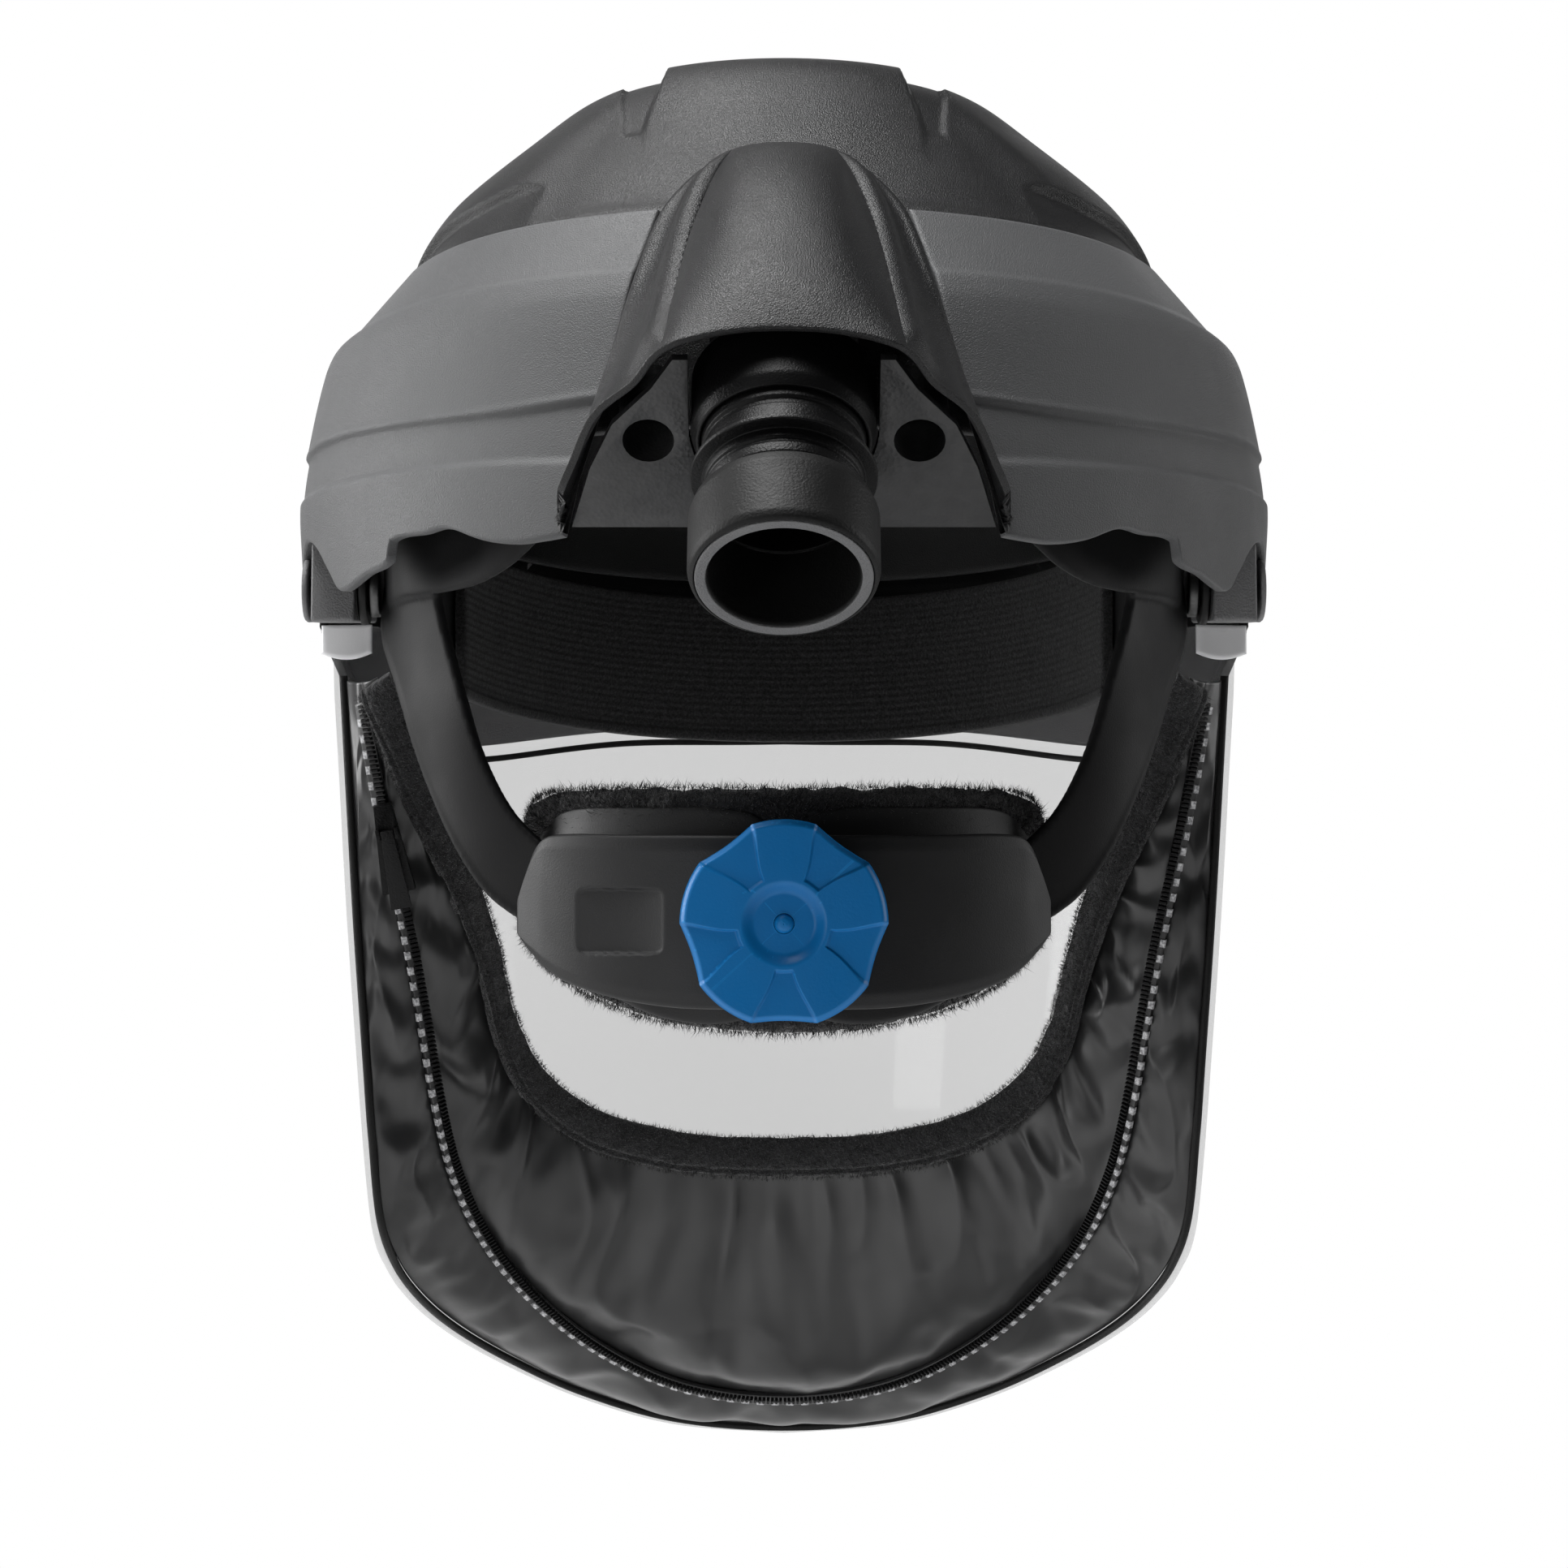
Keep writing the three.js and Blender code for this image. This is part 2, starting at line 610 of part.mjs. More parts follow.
function lens() {
  return plateOver((u, v) => {
    const turn = mix(-LENS_SIDE, LENS_SIDE, u);
    const top = mix(2, -12, smooth(70, LENS_SIDE, abs(turn)));
    return visorPoint(rad(turn), mix(lensEdge(abs(turn)), top, v));
  }, LENS_WALL, 30, 5);
}

add('lens', lens(), LOOKS.lens);

const lensRim = curveThrough(mirrored(
  LENS_EDGE.map(([turn, z]) => visorPoint(rad(turn), z + 4, -LENS_WALL - 1.3).toArray()),
).reverse());
const bandCurve = curveThrough(mirrored(BAND_LINE).reverse());

function gasket() {
  return new THREE.ExtrudeGeometry(polygonShape(circlePoints(1.1, 6)), {
    steps: 40, extrudePath: lensRim, bevelEnabled: false,
  });
}

add('lens_gasket', gasket(), LOOKS.rubber);

add('brow_gasket', plateOver((u, v) => {
  const turn = mix(-72, 72, u);
  return visorPoint(rad(turn), browBottom(abs(turn)) + mix(-1.5, 2.5, v), -LENS_WALL - 0.8);
}, 2, 28, 1), LOOKS.rubber);

function lensClip() {
  return new THREE.BoxGeometry(...CLIP_SIZE).translate(...CLIP_CENTRE);
}

for (const [name, side] of SIDES) {
  add(`lens_clip_${name}`, mirroredX(lensClip(), side), LOOKS.lens);
}

// ---------------------------------------------------------------- face seal and its zipper

// A point of the fabric's rear face; u runs from the right temple to the left one through the
// chin, v from the fleece band out to the lens.
function sealPoint(u, v) {
  const inner = bandCurve.getPointAt(u);
  const rim = lensRim.getPointAt(u);
  const outer = rim.clone().addScaledVector(inner.clone().sub(rim).normalize(), SEAL_INSET);
  const chin = sin(PI * u);
  const bulge = vec(0, mix(3, 15, chin * chin), mix(-2, -34, pow(chin, 4)));
  const middle = inner.clone().add(outer).multiplyScalar(0.5).add(bulge);
  const w = 1 - v;
  return inner.multiplyScalar(w * w).addScaledVector(middle, 2 * w * v).addScaledVector(outer, v * v);
}

function sealNormal(u, v) {
  const step = 0.01;
  const u0 = min(max(u, step), 1 - step);
  const v0 = min(max(v, step), 1 - step);
  const alongU = sealPoint(u0 + step, v).sub(sealPoint(u0 - step, v));
  const alongV = sealPoint(u, v0 + step).sub(sealPoint(u, v0 - step));
  return alongU.cross(alongV).normalize();
}

// A strip that lies on the fabric along v = course(u), from u = first to u = last.
function stripOnSeal(course, first, last, width, wall, lift, steps) {
  return plateOver((u, v) => {
    const s = mix(first, last, u);
    const t = course(s);
    const outwards = sealPoint(s, min(t + 0.02, 1)).sub(sealPoint(s, max(t - 0.02, 0))).normalize();
    return sealPoint(s, t).addScaledVector(outwards, (v - 0.5) * width)
      .addScaledVector(sealNormal(s, t), lift);
  }, wall, steps, 1);
}

function faceSeal() {
  return plateOver((u, v) => sealPoint(mix(0.004, 0.996, u), v), SEAL_WALL, 28, 4);
}

function faceSealBand() {
  return stripOnSeal(() => 0, 0.02, 0.98, BAND_WIDTH, BAND_WALL, BAND_WALL + 1.3, 36);
}

// The zipper runs halfway out at the temples and nearer the lens at the chin.
const zipperCourse = (u) => mix(0.48, 0.7, pow(sin(PI * u), 8));

function zipper() {
  return stripOnSeal(zipperCourse, 0.06, 0.94, ZIPPER_WIDTH, ZIPPER_WALL, ZIPPER_WALL + 0.8, 44);
}

add('face_seal', faceSeal(), LOOKS.nylon);
add('face_seal_band', faceSealBand(), LOOKS.fleece);
add('zipper', zipper(), LOOKS.nylon);

// The slider and its pull tab lie on the zipper a little way below the left temple.
const SLIDER_AT = 0.91;
const SLIDER_LIFT = 3.4;
const SLIDER_HEIGHT = 4.5;
const PULL_HINGE = [4.5, SLIDER_HEIGHT + 1.7];
const PULL_WALL = 2.2;

// Slider coordinates: X across the zipper, Y up along it, Z off the fabric.
function onZipper(geometry) {
  const course = zipperCourse(SLIDER_AT);
  const up = sealPoint(SLIDER_AT + 0.01, course).sub(sealPoint(SLIDER_AT - 0.01, course)).normalize();
  const normal = sealNormal(SLIDER_AT, course);
  const across = up.clone().cross(normal).normalize();
  const centre = sealPoint(SLIDER_AT, course).addScaledVector(normal, SLIDER_LIFT);
  return geometry.applyMatrix4(new THREE.Matrix4().makeBasis(across, up, normal).setPosition(centre));
}

const acrossRod = (radius, length) =>
  rod(radius, length, 10).translate(0, 0, -length / 2).rotateY(PI / 2).translate(0, ...PULL_HINGE);

function zipperSlider() {
  const body = extruded([[-4.5, -12], [4.5, -12], [2.4, 12], [-2.4, 12]], SLIDER_HEIGHT);
  const trough = new THREE.BoxGeometry(5, 10, 2.4).translate(0, -9, SLIDER_HEIGHT / 2);
  const [y, z] = PULL_HINGE;
  const lugs = SIDES.map(([, side]) =>
    new THREE.BoxGeometry(1, 3, z - 2).translate(side * 2.5, y, z / 2 + 2));
  return onZipper(join(cut(body, trough), ...lugs, acrossRod(0.5, 5.4)));
}

function zipperPull() {
  const tab = extruded([[-2.8, -16], [2.8, -16], [1.7, 3], [1.7, 5.5], [-1.7, 5.5], [-1.7, 3]], PULL_WALL);
  tab.translate(0, 0, PULL_HINGE[1] - PULL_WALL / 2);
  return onZipper(cut(tab, acrossRod(0.8, 8)));
}

add('zipper_slider', zipperSlider(), LOOKS.black);
add('zipper_pull', zipperPull(), LOOKS.steel);

// ---------------------------------------------------------------- head harness

function headbandPoint(turn, z, offset = 0) {
  return vec((HEADBAND_HALF + offset) * sin(turn), -(HEADBAND_FRONT + offset) * cos(turn), z);
}

function foreheadFrame() {
  return plateOver((u, v) => headbandPoint(rad(mix(-92, 92, u)), mix(-12, 10, v)), 2.4, 24, 1);
}

function sweatband() {
  return plateOver((u, v) => {
    const height = mix(-27, 15, v) + 4 * pow(2 * u - 1, 2);
    return headbandPoint(rad(mix(-74, 74, u)), height, -2.8);
  }, 4, 24, 1);
}

add('forehead_frame', foreheadFrame(), LOOKS.harness);
add('sweatband', sweatband(), LOOKS.knit);

function crownStrap() {
  return plateOver((u, v) => {
    const angle = mix(0, PI, u);
    return vec(98.6 * cos(angle), mix(11, -11, v), 11 + 101 * sin(angle));
  }, 1.6, 24, 1);
}

add('crown_strap', crownStrap(), LOOKS.harness);

// centreline of the wing that holds an arm, from the temple round to the rear
const WING_LINE = [
  [103, -8, 0], [103.5, 14, -2], [102.5, 32, -4], [97, 50, -5], [86.5, 66, -3], [73, 82, 2],
  [59, 93, 7],
];

function templeBracket() {
  const line = curveThrough(WING_LINE.map((point) => vec(...point)));
  return stripAlong(line, () => vec(0, 0, 1), (t) => mix(16, 12, t), 2, 14);
}

const armTwist = through(ARM_TWIST);
function napeArm() {
  const line = curveThrough(ARM_LINE.map((point) => vec(...point)));
  return stripAlong(line, (t) => {
    const facing = rad(armTwist(t));
    const outwards = vec(cos(facing), sin(facing), 0);
    return line.getTangentAt(t).cross(outwards).negate().normalize();
  }, (t) => mix(ARM_WIDTH, 9, smooth(0.75, 1, t)), ARM_WALL, 18);
}

for (const [name, side] of SIDES) {
  add(`temple_bracket_${name}`, mirroredX(templeBracket(), side), LOOKS.harness);
  add(`arm_${name}`, mirroredX(napeArm(), side), LOOKS.harness);
}

// Nape coordinates: Y straight out of the cover, Z up it.
const onNape = (geometry) => geometry.rotateX(-NAPE_TILT).translate(0, ...NAPE_CENTRE);

// A point at a plan angle from the middle of the nape, on a band set in from the cover's face.
function napePoint(turn, z, inset = 0) {
  const radius = NAPE_RADIUS - inset;
  return vec(radius * sin(turn), radius * cos(turn) - NAPE_RADIUS, z);
}

const NAPE_TURN = Math.asin(NAPE_HALF_WIDTH / NAPE_RADIUS);
const coverTop = through([[0, 20.5], [0.5, 20], [0.78, 16], [0.93, 9], [1, 4]]);
const coverFoot = through([[0, -20.5], [0.4, -20], [0.75, -15], [0.93, -8], [1, -4]]);

function napeBand(inset, wall, reach, top, foot, across, along) {
  return plateOver((u, v) => {
    const part = 1 - 2 * u;
    return napePoint(part * reach, mix(foot(abs(part)), top(abs(part)), v), inset);
  }, wall, across, along);
}

function napeCover() {
  const band = napeBand(0, 2.4, NAPE_TURN, coverTop, coverFoot, 22, 3);
  const shaftHole = rod(5, 20, 20).translate(0, 0, -10).rotateX(-PI / 2);
  const recess = napeWindow(0.9);
  return onNape(cut(band, shaftHole, recess));
}

function napeWindow(depth) {
  const middle = Math.asin(39 / NAPE_RADIUS);
  const reach = 10 / NAPE_RADIUS;
  return plateOver((u, v) =>
    napePoint(middle + reach * (1 - 2 * u), mix(-7, 7, v), -2), depth + 2, 6, 1);
}

add('nape_cover', napeCover(), LOOKS.harness);

const flat = (value) => () => value;
function napeHousing() {
  const band = napeBand(8, 2, 0.6, flat(17), flat(-17), 14, 1);
  const bearing = rod(2.8, 20, 12).translate(0, 0, -20).rotateX(-PI / 2);
  return onNape(cut(band, bearing));
}
add('nape_housing', napeHousing(), LOOKS.inner);

const carrierTop = through([[0, 20], [0.13, 26], [0.5, 27], [0.85, 26], [1, 20]]);
const carrierFoot = through([[0, -21], [0.22, -24.5], [0.45, -22.5], [0.7, -15], [1, -6]]);
add('nape_pad_carrier', onNape(napeBand(10.4, 1.6, 1.02, carrierTop, carrierFoot, 20, 1)), LOOKS.harness);

const padTop = through([[0, 31.5], [0.6, 31.5], [0.9, 29], [1, 22]]);
const padFoot = through([[0, -27], [0.25, -25.5], [0.5, -21.5], [0.8, -13], [1, -5]]);
add('nape_pad', onNape(napeBand(12.4, 6, 1.25, padTop, padFoot, 20, 2)), LOOKS.fleece);

// The left strap runs over the pinion and the right one under it.
function rack(side) {
  const low = side > 0 ? PINION_RADIUS + 0.6 : -PINION_RADIUS - 5.6;
  const [inner, outer] = side > 0 ? [-0.2, 0.84] : [-0.84, 0.2];
  return onNape(plateOver((u, v) =>
    napePoint(mix(outer, inner, u), mix(low, low + 5, v), 3.2), 1.5, 14, 1));
}

for (const [name, side] of SIDES) {
  add(`rack_${name}`, rack(side), LOOKS.inner);
}

// ---------------------------------------------------------------- ratchet knob

function knobOutline(radius) {
  return Array.from({ length: 60 }, (_, i) => {
    const angle = (i / 60) * 2 * PI;
    const rim = radius * (0.965 + 0.035 * cos(KNOB_LOBES * (angle + PI / 2)));
    return [rim * cos(angle), rim * sin(angle)];
  });
}

const KNOB_START = 1.2;
const KNOB_FACE = 12;
const DISH_DEPTH = 1.6;

function knob() {
  const bevel = 1.4;
  const body = new THREE.ExtrudeGeometry(polygonShape(knobOutline(KNOB_RADIUS - bevel)), {
    depth: KNOB_FACE - KNOB_START - 2 * bevel, bevelThickness: bevel, bevelSize: bevel, bevelSegments: 1,
  }).translate(0, 0, KNOB_START + bevel);
  const floor = KNOB_FACE - DISH_DEPTH;
  const dish = turned([[0, floor], [6.8, floor], [9.8, KNOB_FACE], [9.8, 20], [0, 20]], 24);
  const bore = rod(3.9, 10, 16).translate(0, 0, -1);
  return onNape(cut(body, dish, bore).rotateX(-PI / 2));
}

function pinion() {
  const teeth = Array.from({ length: 32 }, (_, i) => {
    const angle = (i / 32) * 2 * PI;
    const radius = PINION_RADIUS - (i % 4 < 2 ? 0 : 0.9);
    return [radius * cos(angle), radius * sin(angle)];
  });
  const gear = extruded(teeth, 4.6).translate(0, 0, -7.4);
  const shaft = rod(3.5, 11, 16).translate(0, 0, -3);
  const stub = rod(2.4, 3, 12).translate(0, 0, -9.6);
  return onNape(join(gear, shaft, stub).rotateX(-PI / 2));
}

function knobCap() {
  const base = turned([[0, 0], [2.2, 0], [2.2, 0.4], [1.6, 0.9], [0.8, 1.2], [0, 1.3]], 16);
  return onNape(base.translate(0, 0, KNOB_FACE - DISH_DEPTH + 0.3).rotateX(-PI / 2));
}

add('knob', knob(), LOOKS.blue);
add('knob_pinion', pinion(), LOOKS.inner);
add('knob_cap', knobCap(), LOOKS.blue);

export default assembly;
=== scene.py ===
"""Looks of a powered air respirator headtop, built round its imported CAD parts.

Sizes in the surface functions are millimetres in the part's own frame: +Z up, the visor faces -Y,
the hose leaves at +Y and the wearer's left is +X. Meshes are scaled to metres when they are made.
"""

import math

import bmesh
import bpy
import numpy as np
from mathutils import Matrix, Vector


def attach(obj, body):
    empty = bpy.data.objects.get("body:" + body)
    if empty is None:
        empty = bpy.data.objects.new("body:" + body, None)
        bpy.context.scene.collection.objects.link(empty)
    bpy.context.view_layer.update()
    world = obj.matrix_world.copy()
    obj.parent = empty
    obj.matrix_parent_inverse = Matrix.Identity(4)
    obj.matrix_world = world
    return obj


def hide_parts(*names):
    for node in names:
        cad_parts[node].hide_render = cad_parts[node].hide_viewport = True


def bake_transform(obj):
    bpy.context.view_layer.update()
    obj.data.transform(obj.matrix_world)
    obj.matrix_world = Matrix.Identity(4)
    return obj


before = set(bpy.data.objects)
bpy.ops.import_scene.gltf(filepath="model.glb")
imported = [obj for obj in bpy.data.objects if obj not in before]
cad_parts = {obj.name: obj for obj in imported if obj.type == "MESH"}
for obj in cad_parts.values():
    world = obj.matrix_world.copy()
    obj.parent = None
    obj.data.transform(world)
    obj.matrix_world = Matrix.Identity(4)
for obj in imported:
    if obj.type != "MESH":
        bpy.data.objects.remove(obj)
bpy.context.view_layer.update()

MM = 0.001
RAD = math.pi / 180
RNG = np.random.default_rng(7)

# ------------------------------------------------------------------ driving dimensions

CROWN_WALL = 3.0
# height, half width, reach to the rear, reach to the front of the crown
CROWN_LEVELS = [
    [136.8, 0, 0, 0],
    [136.4, 22, 18, 22],
    [134.8, 42, 32, 42],
    [130, 55, 43, 61],
    [118.5, 69.5, 57, 84],
    [102, 88.5, 72, 105],
    [89, 97.5, 83, 115],
    [83, 100, 89.5, 119],
    [74, 100.5, 93, 123],
    [50, 103, 99.5, 133.5],
    [26, 105, 104.5, 140],
]
CROWN_FRONT_POWER = 2.3
CREST_HEIGHT = 2.6
GROOVE_OUTER = 41.5
GROOVE_DEPTH = 1.2
# angle from straight back, and height, of the crease above the crown's undercut
CROWN_CREASE = [[0, 99], [40, 99], [50, 98], [58, 96], [75, 92.5], [90, 86], [130, 84]]
CREASE_TURN = 44.0  # behind about this angle the undercut reaches up to the crest
UNDERCUT = 3.0

PANEL_WALL = 3.0
# height, half width and rear reach of the side panels below their upper crease
PANEL_LEVELS = [
    [64, 118.6, 109],
    [56, 122, 112.5],
    [37, 126, 117],
    [22, 128, 120.5],
    [8, 127.4, 123.5],
    [-12, 125.8, 126.5],
]
PANEL_TOP = 81.5
PANEL_CHAMFER = (0.83, 0.69)  # inward slope of the band above the crease, at the side and rear
# angle from straight back, and height, of the panels' edges and creases
PANEL_UPPER_CREASE = [[16, 63], [43, 63], [66, 61], [90, 60]]
PANEL_MIDDLE_CREASE = [[18, 31], [34, 29.5], [68, 33], [90, 34]]
PANEL_LOWER_CREASE = [[20, 14], [34, 16], [54, 18.5], [90, 22]]
PANEL_LOWER_EDGE = [
    [24, -3], [27, -3.6], [30.5, -3.8], [35, -2], [40, 2], [43.5, 1.6], [49.7, 1], [50.1, -3.5],
    [55, -5.6], [60.5, -8], [62.5, -7], [65, -2], [69, 5], [73, 8.5], [76.5, 8.5], [79.4, 4], [80.6, -5],
    [81.6, -9], [90, -9],
]
PANEL_REAR_EDGE = [[-12, 25.4], [-3, 24.8], [22, 20.8], [43, 18.6], [62, 17.6], [81.5, 17.2]]
PANEL_ROW_FOOT = 4.0  # where the lowest mesh row would lie if it were level
PANEL_ROW_BEND = 0.78  # the mesh rows are level down to this share, and then bend to the lower edge
PANEL_FRONT_BOTTOM = 82.5
PANEL_FRONT_TOP = 80.0

COVER_WALL = 1.8
# rows across half the duct cover from its ridge to its foot, four shaping points each
COVER_ROWS = [
    [[0, 80, 98], [0, 99, 96.5], [0, 138, 73], [0, 151.5, 36.5]],
    [[11, 80, 97], [9, 98, 95], [12, 136, 70], [12, 151.3, 35.8]],
    [[19, 85, 92], [16, 97, 87], [18.5, 128, 63], [24, 150.5, 33]],
    [[28.5, 96, 80.5], [25.5, 99, 73], [22.5, 122, 53], [28, 148.5, 31]],
    [[34.6, 105.5, 62], [32.2, 109, 52], [32, 121, 41], [33, 143, 26]],
    [[38.8, 111, 43], [38, 114, 36], [38, 124, 28], [42.4, 135.5, 20]],
    [[44.3, 114.5, 22], [46, 118, 18], [47, 122, 14], [48, 125.5, 10.5]],
    [[52, 116, -3], [52.4, 116.4, -1.5], [52.6, 116.8, 0], [52.8, 117.2, 2]],
]
# share of the way down the cover, and half width of its hood
HOOD_EDGE = [[0, 10], [0.15, 12.5], [0.5, 20.5], [1, 26.5]]
FLUTE_DEPTH = 3.2

TUBE_CENTRE = (0, 132, 21)
TUBE_TILT = 60 * RAD
SOCKET_RADIUS = 21.5
TUBE_RADIUS = 19.0
SLEEVE_RADIUS = 21.8
HOSE_BORE = 17.1

PIVOT = (24, -2)
EAR_INNER = 111.0
EAR_OUTER = 122.5
EAR_BORE = 4.4
FRAME_SIDE = 125.8

VISOR_CENTRE_Y = -10.0
VISOR_POWER = 2.4
LENS_WALL = 1.5
LENS_SIDE = 87.0
LENS_LEVELS = [
    [60, 122.6, 143],
    [-12, 122.6, 142],
    [-45, 121, 143.5],
    [-88, 119, 147],
    [-125, 116.8, 150],
    [-160, 115, 152.5],
    [-200, 113.4, 155.5],
    [-235, 112, 158],
]
LENS_EDGE = [
    [0, -231], [14, -228], [29, -219.5], [43, -209], [56, -198.5], [66, -189],
    [74, -179], [79.5, -167], [82, -145], [83.4, -118], [84.6, -88], [86, -55], [LENS_SIDE, -20],
]
BROW_TOP = [[0, 34], [40, 33], [60, 27], [72, 19], [80, 13], [84, 9], [88, 4.5]]
BROW_BOTTOM = [[0, -20.5], [20, -22], [45, -30], [60, -33], [72, -29], [80, -18], [88, -10]]
BROW_INSET = 3.5  # the frame's lower edge above the gasket line
FRAME_WALL = 2.6
FRAME_GAP = 0.3  # between the lens's outer face and the back of the frame

BAND_LINE = [
    [0, -85, -147], [30, -82, -145.5], [55, -75, -139], [70, -67, -128], [78.5, -58, -113],
    [83.5, -46, -92], [90.5, -33, -70], [101, -20, -46], [109, -7, -20],
]
BAND_WIDTH = 12.0
SEAL_INSET = 1.6
SEAL_ROWS, SEAL_COLUMNS = 420, 61
SEAL_LENGTH, SEAL_DEPTH = 520.0, 80.0  # rough size of the fabric along the band and out from it
CLOTH_WALL = 0.9
CLOTH_GROWTH = 0.045  # how much the simulated fabric grows, as a share of its size
CLOTH_FRAMES = 16
FOLD_CAP = 7.0  # the furthest that the simulation may move the fabric
ZIPPER_FIRST, ZIPPER_LAST = 0.012, 0.988  # the zipper's ends, as shares of the fabric's length
ZIPPER_WIDTH = 5.4
SQUARE_PITCH = 4.3
TOOTH_PITCH = 1.25

NAPE_TILT = 5.5 * RAD
NAPE_CENTRE = (0, 108, -94)
NAPE_RADIUS = 82.5
NAPE_HALF_WIDTH = 66.0
# half angles, in radians, over which the pad's carrier and the pad run
CARRIER_TURN, PAD_TURN = 1.02, 1.25
WINDOW_MIDDLE, WINDOW_HALF, WINDOW_HEIGHT = 39.0, 10.4, 7.6  # the recess in the nape cover
KNOB_RADIUS = 24.2
KNOB_START = 1.2
KNOB_FACE = 12.0
NOTCH_CENTRES = np.array([54, 126, 198, 270, 342])  # degrees round the knob
NOTCH_HALF = 18.0
NOTCH_DEPTH = 1.7
POCKET_START = 0.46  # the pockets' inner end, as a share of the radius
POCKET_HALF = 10.7

# outer and inner edges of a harness arm, from the temple down to the nape
ARM_OUTER = [
    [103, 20, 8], [104.3, 26, -13], [98.9, 40, -30], [91.3, 52, -52], [81.6, 61, -73], [73, 66, -85],
    [62, 71, -93],
]
ARM_INNER = [
    [89, 61, 8], [86.8, 62, -11.5], [81.7, 64, -29], [75, 67, -49], [67, 71, -64], [60, 74, -71.5],
    [52, 78, -79],
]
ARM_BOW = 1.3
# lower and upper edges of the temple wing, along it
WING_EDGES = [[0, -9, 17], [0.33, -8, 17], [0.5, -8.5, 16], [0.78, -9.5, 14], [0.9, -6.5, 13], [1, 0, 12]]
WING_LINE = [
    [103, -8, 0], [103.5, 14, -2], [102.5, 32, -4], [97, 50, -5], [86.5, 66, -3], [73, 82, 2], [59, 93, 7],
]

HEADBAND_HALF = 97.0
HEADBAND_FRONT = 107.0

# the camera, the floor and the lights, in metres but for the floor
CAMERA_LENS, CAMERA_SENSOR = 85, 36
CAMERA_PLACE = (0, 0.9746, -0.1524)
CAMERA_TARGET = (0, 0, -0.05)
WORLD_LIGHT = 0.055
FLOOR_RADIUS, FLOOR_TOP, FLOOR_FOOT = 1000, -420, -440
# name, place, target, width and height, power
SOFTBOXES = [
    ("left_softbox", (1.45, -0.25, 0.3), (0, 0, -0.03), (0.7, 1.1), 22),
    ("right_softbox", (-1.45, -0.3, 0.25), (0, 0, -0.03), (0.7, 1.0), 6),
    ("top_softbox", (0.3, 0.3, 1.35), (0, 0, 0), (0.9, 0.7), 36),
    ("low_softbox", (0.9, 1.3, -0.3), (0, 0, -0.15), (0.5, 0.5), 3.5),
    ("front_softbox", (0, -1.5, 0.2), (0, 0, -0.05), (2.0, 1.7), 7),
]

# ------------------------------------------------------------------ maths helpers


def mix(a, b, t):
    return a + (b - a) * t


def smooth(a, b, x):
    t = np.clip((x - a) / (b - a), 0, 1)
    return t * t * (3 - 2 * t)


def softly_positive(x, width):
    """x where it is positive and 0 where it is negative, rounded over the width."""
    return 0.5 * (x + np.sqrt(x * x + width * width))


def stacked(x, y, z):
    x, y, z = np.broadcast_arrays(x, y, z)
    return np.stack([x, y, z], -1).astype(float)


def unit(a):
    return a / np.maximum(np.linalg.norm(a, axis=-1, keepdims=True), 1e-12)


def on_grid(surface):
    """Lets a surface(u, v) take numbers or arrays, which it spreads to one shape."""
    def spread(u, v):
        return surface(*np.broadcast_arrays(np.asarray(u, float), np.asarray(v, float)))
    return spread


def through(rows):
    """A smooth function through rows of [input, output, output, ...]."""
    table = np.array(sorted(rows), float)
    last = len(table) - 1
    before = table[np.maximum(np.arange(last + 1) - 1, 0)]
    after = table[np.minimum(np.arange(last + 1) + 1, last)]
    slopes = (after - before) / (after[:, :1] - before[:, :1])

    def value(x, k=1):
        x = np.asarray(x, float)
        i = np.clip(np.searchsorted(table[:, 0], x) - 1, 0, last - 1)
        width = table[i + 1, 0] - table[i, 0]
        t = np.clip((x - table[i, 0]) / width, 0, 1)
        keep = (1 + 2 * t) * (1 - t) ** 2
        leave = t * (1 - t) ** 2 * width
        arrive = t * t * (t - 1) * width
        return (keep * table[i, k] + (1 - keep) * table[i + 1, k]
                + leave * slopes[i, k] + arrive * slopes[i + 1, k])

    return value


def mirrored(line):
    """A line from the middle plane out to the left, joined to its mirror image, from right to left."""
    return [[-x, y, z] for x, y, z in reversed(line[1:])] + [list(point) for point in line]


def spline_samples(points, count):
    """A centripetal Catmull-Rom curve, sampled evenly in its points' numbering."""
    p = np.array(points, float)
    p = np.vstack([2 * p[0] - p[1], p, 2 * p[-1] - p[-2]])
    s = np.linspace(0, len(points) - 1, count)
    i = np.minimum(s.astype(int), len(points) - 2)
    t = (s - i)[:, None]
    a, b, c, d = p[i], p[i + 1], p[i + 2], p[i + 3]
    ab, bc, cd = (np.sqrt(np.linalg.norm(y - x, axis=1, keepdims=True)) for x, y in ((a, b), (b, c), (c, d)))
    leave = ((b - a) / ab - (c - a) / (ab + bc) + (c - b) / bc) * bc
    arrive = ((c - b) / bc - (d - b) / (bc + cd) + (d - c) / cd) * bc
    return ((2 * t ** 3 - 3 * t ** 2 + 1) * b + (t ** 3 - 2 * t ** 2 + t) * leave
            + (3 * t ** 2 - 2 * t ** 3) * c + (t ** 3 - t ** 2) * arrive)


